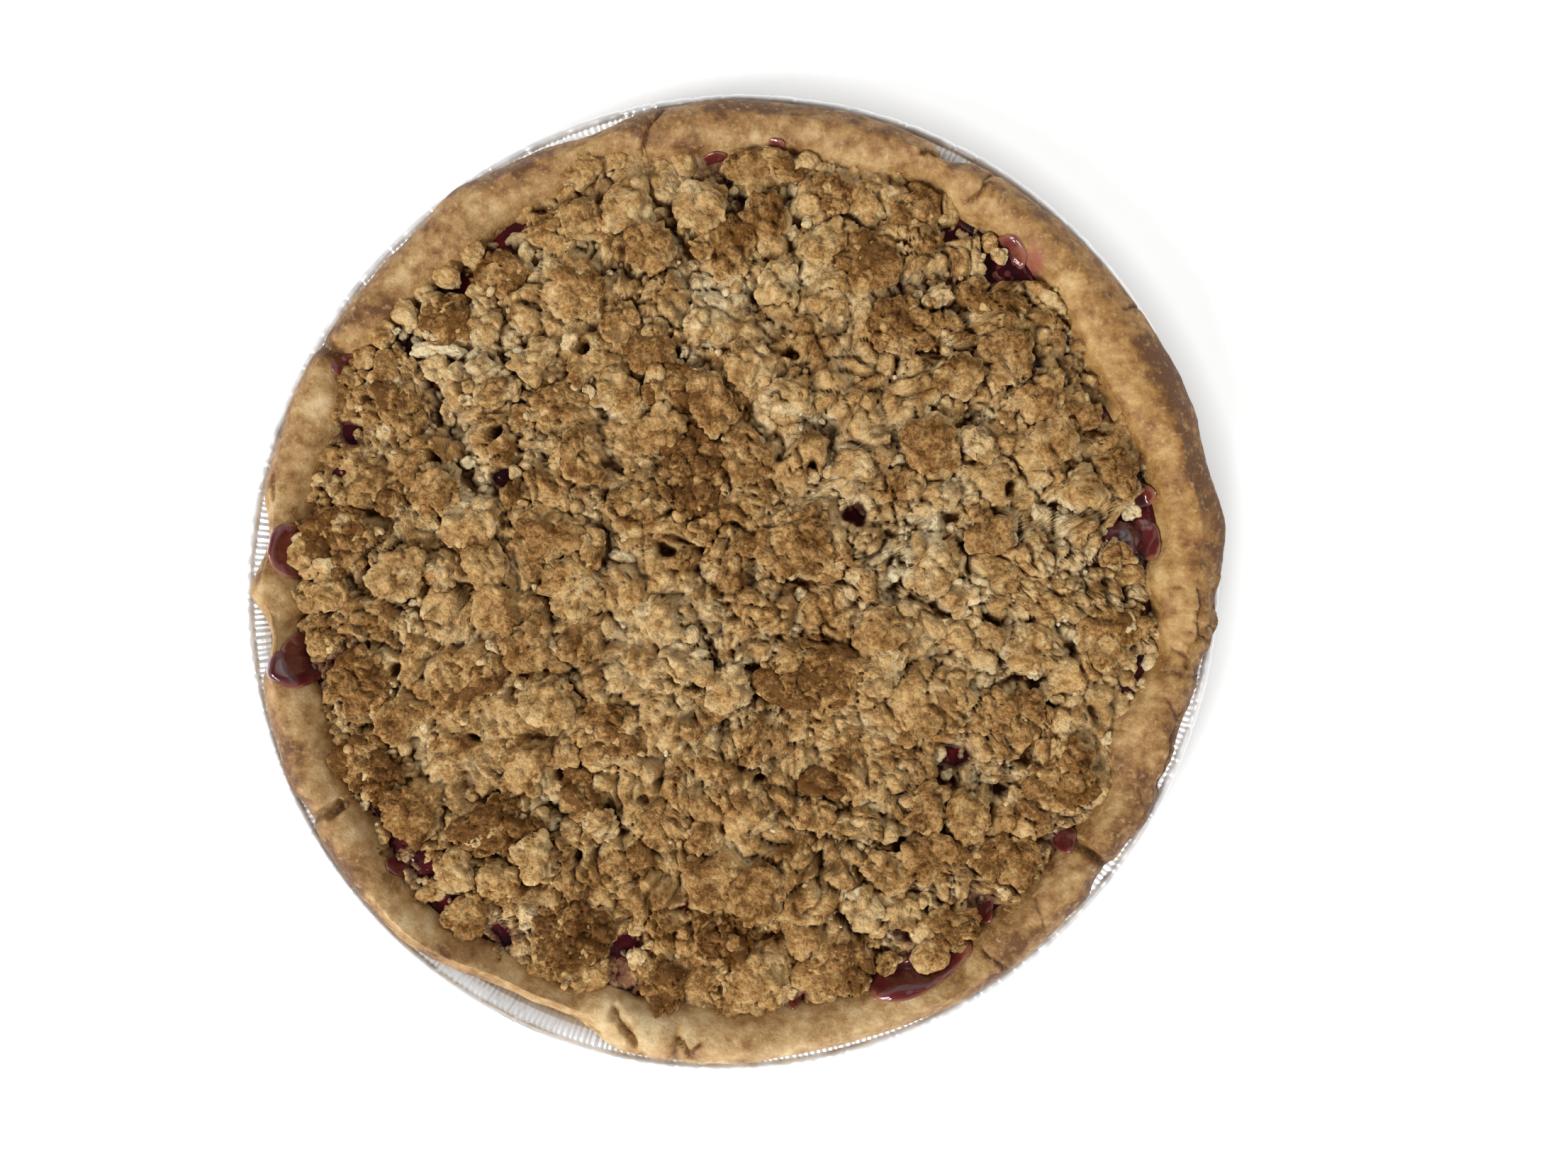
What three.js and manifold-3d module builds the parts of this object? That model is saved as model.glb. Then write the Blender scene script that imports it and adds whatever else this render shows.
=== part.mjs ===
// A nine inch crumble-topped cherry pie, baked and sold in its foil tin. Millimetres, +Z up.
// The origin is on the surface that the tin stands on, under the middle of the pie.
import * as THREE from 'three';
import { mergeVertices } from 'three/addons/utils/BufferGeometryUtils.js';
import Module from 'manifold-3d';

const wasm = await Module();
wasm.setup();

// Gaps between neighbouring pieces, wider at the tin's wall because its facets cut in a little
const GAP = 0.4;
const WALL_GAP = 0.6;

// Foil tin: a flat panel inside a low foot ring, a sloping wall, a flange and a curled edge
const TIN_RADIUS = 112.5;
const FOIL = 0.4;
const PANEL_Z = 1.0;
const PANEL_RADIUS = 73;
const FOOT_INNER_RADIUS = 75.5;
const FOOT_OUTER_RADIUS = 83;
const WALL_BOTTOM = [84.8, 1.4];
const WALL_TOP = [106.6, 28.0];
const FLANGE_Z = 29.4;
const FLANGE_RADIUS = 108;
const CURL_RADIUS = 1.1;
const TIN_SEGMENTS = 60;

// Pastry: a case lining the tin, ending in a fat rounded rim that lies on the flange
const FLOOR_Z = 5.2;
const FLOOR_RADIUS = 80;
const RIM_INNER_RADIUS = 97.5;
const RIM_OUTER_RADIUS = 109.3;
const RIM_CROWN_Z = 37.4;
const RIM_STATION_STEP = 6;
// Its outer side, as [mm in from the outer edge, share of its height over the flange], and its inner slope,
// as a foot [mm, mm] and then [mm out from the inner edge, share of its height over the filling]
const RIM_BACK = [[0, 0.3], [0.9, 0.62], [3, 0.91]];
const RIM_FOOT = [-1.2, -2.4];
const RIM_SLOPE = [[0.4, 0.2], [2.6, 0.72]];

// Where the rim bulges or draws back, as [angle, half width, change in mm]; angles in degrees from +X
const INNER_CHANGES = [
  [107, 9, 4], [65, 8, 3.5], [0, 6, -3.5], [-10, 5, 2], [-22, 7, -4.5], [-60, 9, 5],
  [-105, 7, -2.5], [-133, 14, 4], [-173, 9, 3], [176, 7, 3], [150, 6, 5], [130, 8, -2],
];
const OUTER_CHANGES = [[-113, 10, -5.6], [-126, 7, -1.6], [106, 15, -1.3], [178, 14, -1.0], [-38, 5, -1.5]];
const CROWN_CHANGES = [[-112, 16, -1.8], [-165, 13, 0.8], [61, 5, 0.8], [-25, 10, -1.2], [20, 16, 0.8]];

// Folds, seams and the one gap across the rim, as [angle, half width, depth]
const FOLDS = [
  [149.6, 1.6, 3.4], [65, 0.8, 1.1], [57.5, 0.8, 1.0], [-12, 0.9, 1.3], [-37, 1.9, 5.6],
  [-96, 1.0, 2.2], [-102.5, 1.1, 2.8], [-151, 0.9, 1.4],
];

// Filling level, and the cherry that shows at the right, as half sizes and a place
const FILLING_Z = 31;
const CHERRY_HALF_SIZE = [5.9, 5.6, 4.9];
const CHERRY_PLACE = [88.4, 8.4, 29.8];

// Crumble: a low mound of clumps, drawn back where the filling shows, as [angle, half width, mm].
// Its hollows rise from the edge to the middle, and its clumps stand on them.
const HOLLOW_EDGE_Z = 32.8;
const HOLLOW_MIDDLE_Z = 36;
const MOUND_RINGS = 19;
const MOUND_CLEARANCE = 1.2;
const BAYS = [
  [50, 6, 8], [7, 6, 8], [-64, 9, 7], [-170, 6, 4], [176, 4, 3], [-38, 4, 5], [-52, 3, 4],
  [-81, 3, 4], [-140, 4, 4], [150, 4, 4], [93, 4, 4], [-105, 5, 4],
];

// Clumps that stand out, as [x, y, width, depth, turn in degrees]
const CLUMPS = [
  [18, -22, 27, 17, 0], [15, 9, 25, 16, -10], [-53, -54, 23, 14, 5], [-74, 42, 13, 24, 15],
  [73, -4, 22, 12, -15], [-61, -21, 21, 12, 5], [-29, -34, 20, 16, 0], [46, -28, 20, 18, 10],
  [24, -88, 20, 13, 0], [-81, -40, 19, 16, -35], [-35, -80, 19, 17, 0], [64, -31, 18, 14, 0],
  [74, -44, 18, 18, 30], [38, 57, 19, 14, 0], [6, 94, 18, 11, 0], [-57, 46, 18, 15, 0],
  [-89, 10, 15, 18, 0], [-9, 25, 14, 20, 0], [61, 60, 17, 12, -30], [69, -16, 17, 11, -15],
  [-84, -22, 16, 14, -40], [0, -80, 16, 16, 0], [-42, 12, 16, 13, 10], [85, -13, 15, 13, 0],
  [0, 73, 12, 16, 0], [-41, 40, 15, 11, 0], [30, 73, 15, 14, 0], [50, -79, 16, 11, 10],
  [-35, 82, 14, 11, 20], [-66, 60, 14, 13, 0], [-14, 45, 13, 15, 0], [-53, 71, 14, 11, 0],
  [63, -63, 15, 13, 0], [22, -44, 13, 11, 0], [20, 87, 13, 11, 0], [41, 83, 13, 12, 0],
  [-33, -46, 9, 12, 0], [54, -12, 14, 11, -30], [-59, -75, 13, 11, 20], [-14, -91, 11, 13, 0],
];
const CLUMP_HEIGHT_SHARE = 0.3;
const CLUMP_HEIGHT_EXTRA = 0.8;
const CLUMP_LIFT = 1.2;
const CLUMP_ROUGHNESS = 0.14;
const FINE_CLUMP_WIDTH = 12;

// Clumps between them, placed by a seeded rule from the widest to the narrowest
const FILLER_WIDTHS = [14, 13, 12, 11, 10, 9, 8];
const FILLER_TRIES = 400;
const FILLER_SPACING = 0.74;
const FILLER_HEIGHT_SHARE = 0.34;
const SEED = 20731;

// Holes in the crumble down to the filling, as [x, y, radius]
const HOLES = [
  [-26, -82, 4.2], [-51, -80, 2.6], [-89, 35, 2.8], [-74, 56, 3], [-52, 24, 2.8], [30, 13, 2.6], [51, -41, 3],
];
const HOLE_DEPTH = 14;

const radians = THREE.MathUtils.degToRad;

// Smooth bump, 1 at the angle at and 0 from half degrees away
function bump(degrees, at, half) {
  const away = Math.abs(THREE.MathUtils.euclideanModulo(degrees - at + 180, 360) - 180);
  return away < half ? Math.cos((away / half) * (Math.PI / 2)) ** 2 : 0;
}

function changed(degrees, start, changes) {
  return changes.reduce((sum, [at, half, change]) => sum + change * bump(degrees, at, half), start);
}

function wave(degrees, turns, phase, size) {
  return size * Math.sin(radians(degrees * turns + phase));
}

const rimInner = (deg) => changed(deg, RIM_INNER_RADIUS + wave(deg, 9, 40, 0.6), INNER_CHANGES);
const rimOuter = (deg) => changed(deg, RIM_OUTER_RADIUS + wave(deg, 5, 10, 0.25), OUTER_CHANGES);
const foldDepth = (deg) => changed(deg, 0, FOLDS);
const rimCrown = (deg) => changed(deg, RIM_CROWN_Z + wave(deg, 7, 0, 0.35), CROWN_CHANGES) - foldDepth(deg);
const wallRadius = (z) =>
  WALL_BOTTOM[0] + ((z - WALL_BOTTOM[1]) * (WALL_TOP[0] - WALL_BOTTOM[0])) / (WALL_TOP[1] - WALL_BOTTOM[1]);

// Angles in even steps, with three more at each fold so that it stays sharp
function stationAngles(step, folds) {
  const angles = new Set();
  for (let deg = -180; deg < 180; deg += step) {
    const nearFold = folds.some(([at, half]) => Math.abs(deg - at) < half + 0.6);
    if (!nearFold) angles.add(deg);
  }
  for (const [at, half] of folds) {
    for (const share of [-1, 0, 1]) angles.add(at + share * half);
  }
  return [...angles].sort((a, b) => a - b);
}

// Closed solid round the Z axis: sectionAt(degrees) gives its outline in that half plane as [r, z] points,
// from the axis underneath, outwards and back to the axis on top, or as a closed loop clear of the axis.
// Each face is split from its lower corner at one angle to its upper corner at the next, so that two
// surfaces that follow each other at a gap never cross.
function roundSolid(angles, sectionAt) {
  const sections = angles.map(sectionAt);
  const count = sections[0].length;
  const reachesAxis = sections[0][0][0] === 0;
  const positions = [];
  sections.forEach((section, i) => {
    const turn = radians(angles[i]);
    for (const [r, z] of section) positions.push(r * Math.cos(turn), r * Math.sin(turn), z);
  });
  const index = [];
  for (let i = 0; i < angles.length; i += 1) {
    const next = (i + 1) % angles.length;
    for (let j = 0; j < (reachesAxis ? count - 1 : count); j += 1) {
      const up = (j + 1) % count;
      const corners = [i * count + j, next * count + j, next * count + up, i * count + up];
      const falls = sections[i][up][1] < sections[i][j][1];
      const [a, b, c, d] = falls ? [...corners.slice(1), corners[0]] : corners;
      index.push(a, b, c, a, c, d);
    }
  }
  const geometry = new THREE.BufferGeometry();
  geometry.setAttribute('position', new THREE.Float32BufferAttribute(positions, 3));
  geometry.setIndex(index);
  return withoutSlivers(mergeVertices(geometry, 1e-4));
}

// Leaves out the faces that merging has brought down to a line, as on the axis
function withoutSlivers(geometry) {
  const index = [];
  for (let i = 0; i < geometry.index.count; i += 3) {
    const corners = [0, 1, 2].map((corner) => geometry.index.getX(i + corner));
    if (new Set(corners).size === 3) index.push(...corners);
  }
  return geometry.setIndex(index);
}

function toManifold(geometry) {
  const bare = geometry.clone();
  bare.deleteAttribute('normal');
  bare.deleteAttribute('uv');
  const merged = mergeVertices(bare, 1e-4);
  return new wasm.Manifold(new wasm.Mesh({
    numProp: 3,
    vertProperties: new Float32Array(merged.attributes.position.array),
    triVerts: new Uint32Array(merged.index.array),
  }));
}

function toGeometry(solid) {
  const { vertProperties, triVerts } = solid.getMesh();
  const geometry = new THREE.BufferGeometry();
  geometry.setAttribute('position', new THREE.Float32BufferAttribute(vertProperties, 3));
  geometry.setIndex([...triVerts]);
  return geometry;
}

function piece(name, geometry, color, roughness, metalness) {
  const flat = geometry.index ? geometry.toNonIndexed() : geometry;
  flat.computeVertexNormals();
  const mesh = new THREE.Mesh(flat, new THREE.MeshStandardMaterial({ color, roughness, metalness }));
  mesh.name = name;
  return mesh;
}

// Foil tin, turned from one thin profile that closes on itself at the curled edge
function tinGeometry() {
  const under = [
    [0, PANEL_Z], [PANEL_RADIUS, PANEL_Z], [FOOT_INNER_RADIUS, 0], [FOOT_OUTER_RADIUS, 0],
    [WALL_BOTTOM[0] + FOIL, WALL_BOTTOM[1] - FOIL], [WALL_TOP[0] + FOIL, WALL_TOP[1] - FOIL],
    [FLANGE_RADIUS, FLANGE_Z - FOIL],
  ];
  const curlX = TIN_RADIUS - CURL_RADIUS;
  const curlZ = FLANGE_Z - FOIL / 2;
  const curl = [-120, -60, 0, 60, 120].map((deg) =>
    [curlX + CURL_RADIUS * Math.cos(radians(deg)), curlZ + CURL_RADIUS * Math.sin(radians(deg))]);
  const inside = [
    [curlX - CURL_RADIUS - 0.3, FLANGE_Z], [FLANGE_RADIUS, FLANGE_Z], WALL_TOP, WALL_BOTTOM,
    [FOOT_OUTER_RADIUS - 0.1, FOIL], [FOOT_INNER_RADIUS + 0.2, FOIL],
    [PANEL_RADIUS + 0.2, PANEL_Z + FOIL], [0, PANEL_Z + FOIL],
  ];
  const profile = [...under, ...curl, ...inside].map(([r, z]) => new THREE.Vector2(r, z));
  return new THREE.LatheGeometry(profile, TIN_SEGMENTS).rotateX(Math.PI / 2);
}

// The rim's inner slope from under the filling up to the crown, moved by away from the pastry
function innerSlope(deg, away) {
  const inner = rimInner(deg);
  const rise = rimCrown(deg) - FILLING_Z;
  const [low, high] = RIM_SLOPE.map(([out, share]) => [inner + out, FILLING_Z + share * rise]);
  return [
    [inner + RIM_FOOT[0] - away, FILLING_Z + RIM_FOOT[1]],
    [low[0] - away, low[1] + 0.3 * away],
    [high[0] - 0.7 * away, high[1] + 0.8 * away],
    [(inner + rimOuter(deg)) / 2 + 0.6, FILLING_Z + rise + away],
  ];
}

// Half section of the pastry case: under the floor, up the tin's wall, over the flange, round the rim and in
function pastrySection(deg) {
  const outer = rimOuter(deg);
  const lying = FLANGE_Z + GAP;
  const rise = rimCrown(deg) - lying;
  const onFlange = outer > FLANGE_RADIUS;
  const leavesWallZ = onFlange ? WALL_TOP[1] - 0.6 : wallHeightUnder(outer - 2);
  const overhang = onFlange ? outer - 1.3 : outer - 0.5;
  const slope = innerSlope(deg, 0);
  return [
    [0, PANEL_Z + FOIL + GAP], [PANEL_RADIUS - 0.4, PANEL_Z + FOIL + GAP],
    [FOOT_INNER_RADIUS + 0.4, FOIL + GAP], [FOOT_OUTER_RADIUS - 0.6, FOIL + GAP],
    [wallRadius(2) - WALL_GAP, 2], [wallRadius(leavesWallZ) - WALL_GAP, leavesWallZ],
    [onFlange ? FLANGE_RADIUS - 0.7 : outer - 1.2, lying], [overhang, lying],
    ...RIM_BACK.map(([inward, share]) => [outer - inward, lying + share * rise]),
    ...slope.toReversed(),
    [FLOOR_RADIUS, FLOOR_Z + 1], [FLOOR_RADIUS - 3, FLOOR_Z], [0, FLOOR_Z],
  ];
}

// Height at which the tin's inner wall reaches a radius
function wallHeightUnder(radius) {
  const slope = (WALL_TOP[1] - WALL_BOTTOM[1]) / (WALL_TOP[0] - WALL_BOTTOM[0]);
  return WALL_BOTTOM[1] + (radius + WALL_GAP - WALL_BOTTOM[0]) * slope;
}

// Half section of the filling, which fills the case up to its level and stops at the rim's inner slope
function fillingSection(deg) {
  const [foot, bend] = innerSlope(deg, GAP);
  const share = (FILLING_Z - foot[1]) / (bend[1] - foot[1]);
  return [
    [0, FLOOR_Z + GAP], [FLOOR_RADIUS - 3.4, FLOOR_Z + GAP], [FLOOR_RADIUS - GAP, FLOOR_Z + 1 + GAP],
    foot, [foot[0] + share * (bend[0] - foot[0]), FILLING_Z], [0, FILLING_Z],
  ];
}

function cherryGeometry(extra) {
  const [halfX, halfY, halfZ] = CHERRY_HALF_SIZE.map((half) => half + extra);
  return new THREE.IcosahedronGeometry(1, 2).scale(halfX, halfY, halfZ).translate(...CHERRY_PLACE);
}

// Seeded draws from 0 to 1, the same on every run
function drawFrom(seed) {
  const [factor, modulus] = [16807, 2147483647];
  let state = seed;
  return () => {
    state = (state * factor) % modulus;
    return state / modulus;
  };
}

const moundEdge = (deg) => rimInner(deg) - MOUND_CLEARANCE - changed(deg, 0, BAYS) + wave(deg, 23, 0, 0.5);

function hollowZ(x, y) {
  const share = Math.min(Math.hypot(x, y) / RIM_INNER_RADIUS, 1);
  return HOLLOW_EDGE_Z + (HOLLOW_MIDDLE_Z - HOLLOW_EDGE_Z) * (1 - share * share);
}

// Fillers as {x, y, width, depth, turn}, wherever there is room between the clumps and each other
function placeFillers(clumps, draw) {
  const fillers = [];
  const reach = ({ width, depth }) => (width + depth) / 4;
  for (const width of FILLER_WIDTHS) {
    for (let tries = 0; tries < FILLER_TRIES; tries += 1) {
      const radius = RIM_INNER_RADIUS * Math.sqrt(draw());
      const degrees = 360 * draw();
      const filler = {
        x: radius * Math.cos(radians(degrees)), y: radius * Math.sin(radians(degrees)),
        width, depth: width * (0.7 + 0.3 * draw()), turn: 180 * draw(),
      };
      const inside = radius + width / 3 < moundEdge(degrees);
      const apart = ({ x, y }, spacing) => Math.hypot(x - filler.x, y - filler.y) > spacing;
      const others = [...clumps, ...fillers];
      const roomy = others.every((other) => apart(other, FILLER_SPACING * (reach(other) + reach(filler))));
      const clearOfHoles = HOLES.every(([x, y, hole]) => apart({ x, y }, hole + reach(filler)));
      if (inside && roomy && clearOfHoles) fillers.push(filler);
    }
  }
  return fillers;
}

// Height of a filler's rounded back over a point, 0 beside it
function fillerRise(filler, x, y) {
  const turn = radians(filler.turn);
  const along = (x - filler.x) * Math.cos(turn) + (y - filler.y) * Math.sin(turn);
  const across = (y - filler.y) * Math.cos(turn) - (x - filler.x) * Math.sin(turn);
  const share = (2 * along / filler.width) ** 2 + (2 * across / filler.depth) ** 2;
  return share < 1 ? FILLER_HEIGHT_SHARE * filler.width * Math.sqrt(1 - share) : 0;
}

// The mound with its fillers as relief: rings of 6, 12, 18 ... points out to the uneven edge, on a flat base
function moundGeometry(fillers) {
  const positions = [0, 0, HOLLOW_MIDDLE_Z];
  const index = [];
  for (let ring = 1; ring <= MOUND_RINGS; ring += 1) {
    for (let i = 0; i < 6 * ring; i += 1) {
      const degrees = (60 * i) / ring;
      const radius = (moundEdge(degrees) * ring) / MOUND_RINGS;
      const x = radius * Math.cos(radians(degrees));
      const y = radius * Math.sin(radians(degrees));
      const rise = Math.max(0, ...fillers.map((filler) => fillerRise(filler, x, y)));
      positions.push(x, y, hollowZ(x, y) + rise);
    }
  }
  const at = (ring, i) => (ring === 0 ? 0 : 1 + 3 * ring * (ring - 1) + (i % (6 * ring)));
  for (let ring = 1; ring <= MOUND_RINGS; ring += 1) {
    for (let side = 0; side < 6; side += 1) {
      for (let i = 0; i < ring; i += 1) {
        const [outer, inner] = [side * ring + i, side * (ring - 1) + i];
        index.push(at(ring, outer), at(ring, outer + 1), at(ring - 1, inner));
        if (i > 0) index.push(at(ring, outer), at(ring - 1, inner), at(ring - 1, inner - 1));
      }
    }
  }
  const top = positions.length / 3;
  const middle = top;
  positions.push(0, 0, FILLING_Z);
  for (let i = 0; i < 6 * MOUND_RINGS; i += 1) {
    const next = (i + 1) % (6 * MOUND_RINGS);
    const [rim, rimNext] = [at(MOUND_RINGS, i), at(MOUND_RINGS, next)];
    const [foot, footNext] = [top + 1 + i, top + 1 + next];
    positions.push(positions[3 * rim], positions[3 * rim + 1], FILLING_Z);
    index.push(foot, footNext, rimNext, foot, rimNext, rim, middle, footNext, foot);
  }
  const geometry = new THREE.BufferGeometry();
  geometry.setAttribute('position', new THREE.Float32BufferAttribute(positions, 3));
  return geometry.setIndex(index);
}

// One clump: a flattened, uneven ball half sunk in the mound
function clumpGeometry({ x, y, width, depth, turn }, draw) {
  const ball = new THREE.IcosahedronGeometry(1, width >= FINE_CLUMP_WIDTH ? 1 : 0);
  ball.deleteAttribute('normal');
  ball.deleteAttribute('uv');
  const shape = mergeVertices(ball, 1e-4);
  const places = shape.attributes.position;
  for (let i = 0; i < places.count; i += 1) {
    const swell = 1 + CLUMP_ROUGHNESS * (2 * draw() - 1);
    places.setXYZ(i, places.getX(i) * swell, places.getY(i) * swell, places.getZ(i) * swell);
  }
  const height = CLUMP_HEIGHT_SHARE * Math.min(width, depth) + CLUMP_HEIGHT_EXTRA;
  shape.scale(width / 2, depth / 2, height).rotateZ(radians(turn));
  return shape.translate(x, y, hollowZ(x, y) + CLUMP_LIFT);
}

// Room that the pastry rim takes in the crumble, as a ring over its slope and crown
function rimRoomGeometry(angles) {
  return roundSolid(angles, (deg) => {
    const slope = innerSlope(deg, GAP);
    const [[footRadius, footZ], [, crownZ]] = [slope[0], slope[3]];
    return [[footRadius, footZ - 1], [TIN_RADIUS, footZ - 1], [TIN_RADIUS, crownZ], ...slope.toReversed()];
  });
}

function crumbleGeometry(rimAngles) {
  const draw = drawFrom(SEED);
  const clumps = CLUMPS.map(([x, y, width, depth, turn]) => ({ x, y, width, depth, turn }));
  let heap = toManifold(moundGeometry(placeFillers(clumps, draw)));
  for (const clump of clumps) heap = heap.add(toManifold(clumpGeometry(clump, draw)));
  heap = heap.subtract(toManifold(rimRoomGeometry(rimAngles)));
  const below = new THREE.BoxGeometry(2 * TIN_RADIUS, 2 * TIN_RADIUS, FILLING_Z);
  heap = heap.subtract(toManifold(below.translate(0, 0, FILLING_Z / 2 + GAP)));
  heap = heap.subtract(toManifold(cherryGeometry(GAP)));
  for (const [x, y, radius] of HOLES) {
    const hole = new THREE.CylinderGeometry(1.35 * radius, 0.8 * radius, HOLE_DEPTH, 7).rotateX(Math.PI / 2);
    heap = heap.subtract(toManifold(hole.translate(x, y, FILLING_Z + HOLE_DEPTH / 2)));
  }
  return toGeometry(heap);
}

const rimAngles = stationAngles(RIM_STATION_STEP, FOLDS);
const filling = toManifold(roundSolid(rimAngles, fillingSection)).subtract(toManifold(cherryGeometry(GAP)));

const pie = new THREE.Group();
pie.add(
  piece('pie_tin', tinGeometry(), 0xc9cbcc, 0.28, 1),
  piece('pastry_crust', roundSolid(rimAngles, pastrySection), 0xc69b63, 0.75, 0),
  piece('cherry_filling', toGeometry(filling), 0x7d1822, 0.2, 0),
  piece('cherry', cherryGeometry(0), 0x46121d, 0.25, 0),
  piece('crumble_topping', crumbleGeometry(rimAngles), 0xb98d53, 0.85, 0),
);

export default pie;
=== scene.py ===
import bmesh
import bpy
import itertools
import math
import numpy as np
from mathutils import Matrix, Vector


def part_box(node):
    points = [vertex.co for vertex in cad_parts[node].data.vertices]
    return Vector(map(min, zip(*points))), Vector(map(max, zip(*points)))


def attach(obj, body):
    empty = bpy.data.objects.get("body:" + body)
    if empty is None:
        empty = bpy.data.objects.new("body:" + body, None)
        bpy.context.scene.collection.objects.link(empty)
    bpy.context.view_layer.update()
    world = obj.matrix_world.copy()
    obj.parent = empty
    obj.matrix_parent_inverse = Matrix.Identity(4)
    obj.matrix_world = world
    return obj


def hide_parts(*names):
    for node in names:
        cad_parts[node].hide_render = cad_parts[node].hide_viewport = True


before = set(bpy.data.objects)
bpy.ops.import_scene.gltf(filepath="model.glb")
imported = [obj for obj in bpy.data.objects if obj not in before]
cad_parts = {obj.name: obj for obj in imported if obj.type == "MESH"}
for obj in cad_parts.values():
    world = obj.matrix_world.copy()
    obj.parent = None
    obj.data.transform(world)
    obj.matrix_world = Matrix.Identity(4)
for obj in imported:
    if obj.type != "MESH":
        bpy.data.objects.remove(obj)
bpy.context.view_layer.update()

# ---- Foil tin ------------------------------------------------------------------------------------------
# A disposable nine inch tin, pressed in one piece from thin rolled aluminium foil. The pressing gathers the
# wall into fine uneven flutes, and the edge is curled over into a stiff round bead.
MM = 0.001
FOIL = 0.35
PANEL_Z = 1.0
PANEL_RADIUS = 73
FOOT_RADII = (75.5, 83)
WALL_FOOT = (84.8, 1.4)
WALL_TOP = (106.6, 28.0)
FLANGE_Z = 29.4
FLANGE_RADIUS = 108
CURL_RADIUS = 1.05
BEAD_WORN = 0.12
FLUTES = 500
FLUTE_DEPTH = 0.74
FLUTES_BEGIN = 0.14
COLUMNS_PER_FLUTE = (0.0, 0.28, 0.5, 0.78)
HEIGHTS_PER_FLUTE = (1.0, 0.42, 0.0, 0.45)
WALL_ROWS = 6
CURL_NICKS = 110
NICK_DEPTH = 0.24
NICK_WIDTH = 0.17
# Unevenness of the crushed bead, in its thickness and in its height, as [height, size, salt]
BEAD_DENTS = [(0.08, 7, 3), (0.12, 1.9, 4)]
BEAD_WAVES = [(0.12, 16, 5), (0.1, 1.4, 6)]
# The way the full tin sags wider, in degrees, and by what share
SAG_TURN = 49.6
SAG = 0.0117
tin_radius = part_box("pie_tin")[1].x / MM


def cell_draw(cells, salt):
    """A draw from 0 to 1 for each whole-number cell, the same on every run"""
    mixed = (cells[..., 0] * 73856093) ^ (cells[..., 1] * 19349663) ^ (cells[..., 2] * 83492791)
    mixed = ((mixed ^ (salt * 265443576)) & 0xFFFFFFFF) * 1274126177
    mixed = (((mixed >> 13) ^ mixed) & 0xFFFFFFFF) * 1103515245
    return (((mixed >> 16) ^ mixed) & 0xFFFFFF) / 0x1000000


def swell(points, size, salt):
    """Smooth rise and fall from -1 to 1, in lumps of about that size"""
    spots = points / size
    base = np.floor(spots).astype(np.int64)
    part = spots - base
    part = part * part * (3 - 2 * part)
    total = np.zeros(points.shape[:-1])
    for corner in itertools.product((0, 1), repeat=3):
        share = np.prod(np.where(corner, part, 1 - part), axis=-1)
        total += share * cell_draw(base + np.array(corner), salt)
    return 2 * total - 1


def swells(points, parts):
    """Several swells laid over each other, each as (height, size, salt)"""
    return sum(height * swell(points, size, salt) for height, size, salt in parts)


def heading(degrees):
    """Cosine and sine of one angle"""
    return math.cos(math.radians(degrees)), math.sin(math.radians(degrees))


def polar(points):
    """Angle in degrees and distance from the pie's axis of each point"""
    return np.degrees(np.arctan2(points[..., 1], points[..., 0])), np.hypot(points[..., 0], points[..., 1])


def sagged(points):
    """The points as they lie in the full tin, which is a little wider one way than the other"""
    cos, sin = heading(2 * SAG_TURN)
    wider = np.eye(3)
    wider[:2, :2] += SAG * np.array([[cos, sin], [sin, -cos]])
    return np.asarray(points) @ wider


def lay_mesh(name, points, faces, finish):
    """A smooth-shaded piece of the pie from points in millimetres"""
    mesh = bpy.data.meshes.new(name)
    mesh.from_pydata((sagged(points) * MM).tolist(), [], faces)
    mesh.shade_smooth()
    mesh.materials.append(finish)
    piece = bpy.data.objects.new(name, mesh)
    bpy.context.scene.collection.objects.link(piece)
    return piece


def band(low, high, count):
    """Faces between two rings of points, each given by the number of its first point"""
    around = np.arange(count)
    onward = (around + 1) % count
    return np.stack([low + around, low + onward, high + onward, high + around], axis=1).tolist()


def fan(middle, ring, count):
    """Faces from a middle point to a ring of points, seen from below"""
    return [(middle, ring + (corner + 1) % count, ring + corner) for corner in range(count)]


def turned(rows):
    """Points and faces of a closed skin round the pie, from rows of points that start and end on its axis"""
    count = len(rows[1])
    points = np.concatenate([rows[0][:1], *rows[1:-1], rows[-1][:1]])
    starts = range(1, len(points) - 1, count)
    faces = fan(0, 1, count)
    for low in starts[:-1]:
        faces += band(low, low + count, count)
    return points, faces + [face[::-1] for face in fan(len(points) - 1, starts[-1], count)]


def paint(piece, name, shares):
    """Keeps a share from 0 to 1 at each point of a piece, for its finish to read"""
    layer = piece.data.attributes.new(name, "FLOAT", "POINT")
    layer.data.foreach_set("value", np.asarray(shares, np.float32))


def round_row(degrees, radius, z):
    turn = np.radians(degrees)
    return np.stack([radius * np.cos(turn), radius * np.sin(turn), np.broadcast_to(z, turn.shape)], axis=-1)


def new_finish(name):
    """A material, its node tree and its main shader"""
    finish = bpy.data.materials.new(name)
    finish.use_nodes = True
    return finish, finish.node_tree, finish.node_tree.nodes["Principled BSDF"]


def plug(node, inputs):
    """Sets inputs of a shader node, by name or number, or joins them to the outputs of others"""
    for key, value in inputs.items():
        if isinstance(value, bpy.types.NodeSocket):
            node.id_data.links.new(value, node.inputs[key])
        else:
            node.inputs[key].default_value = value


def add_node(tree, kind, inputs=None, **settings):
    """A shader node with its settings and inputs"""
    node = tree.nodes.new("ShaderNode" + kind)
    for key, value in settings.items():
        setattr(node, key, value)
    plug(node, inputs or {})
    return node


def on_piece(tree):
    """Where each spot lies on its piece"""
    return add_node(tree, "TexCoord").outputs["Object"]


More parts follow.
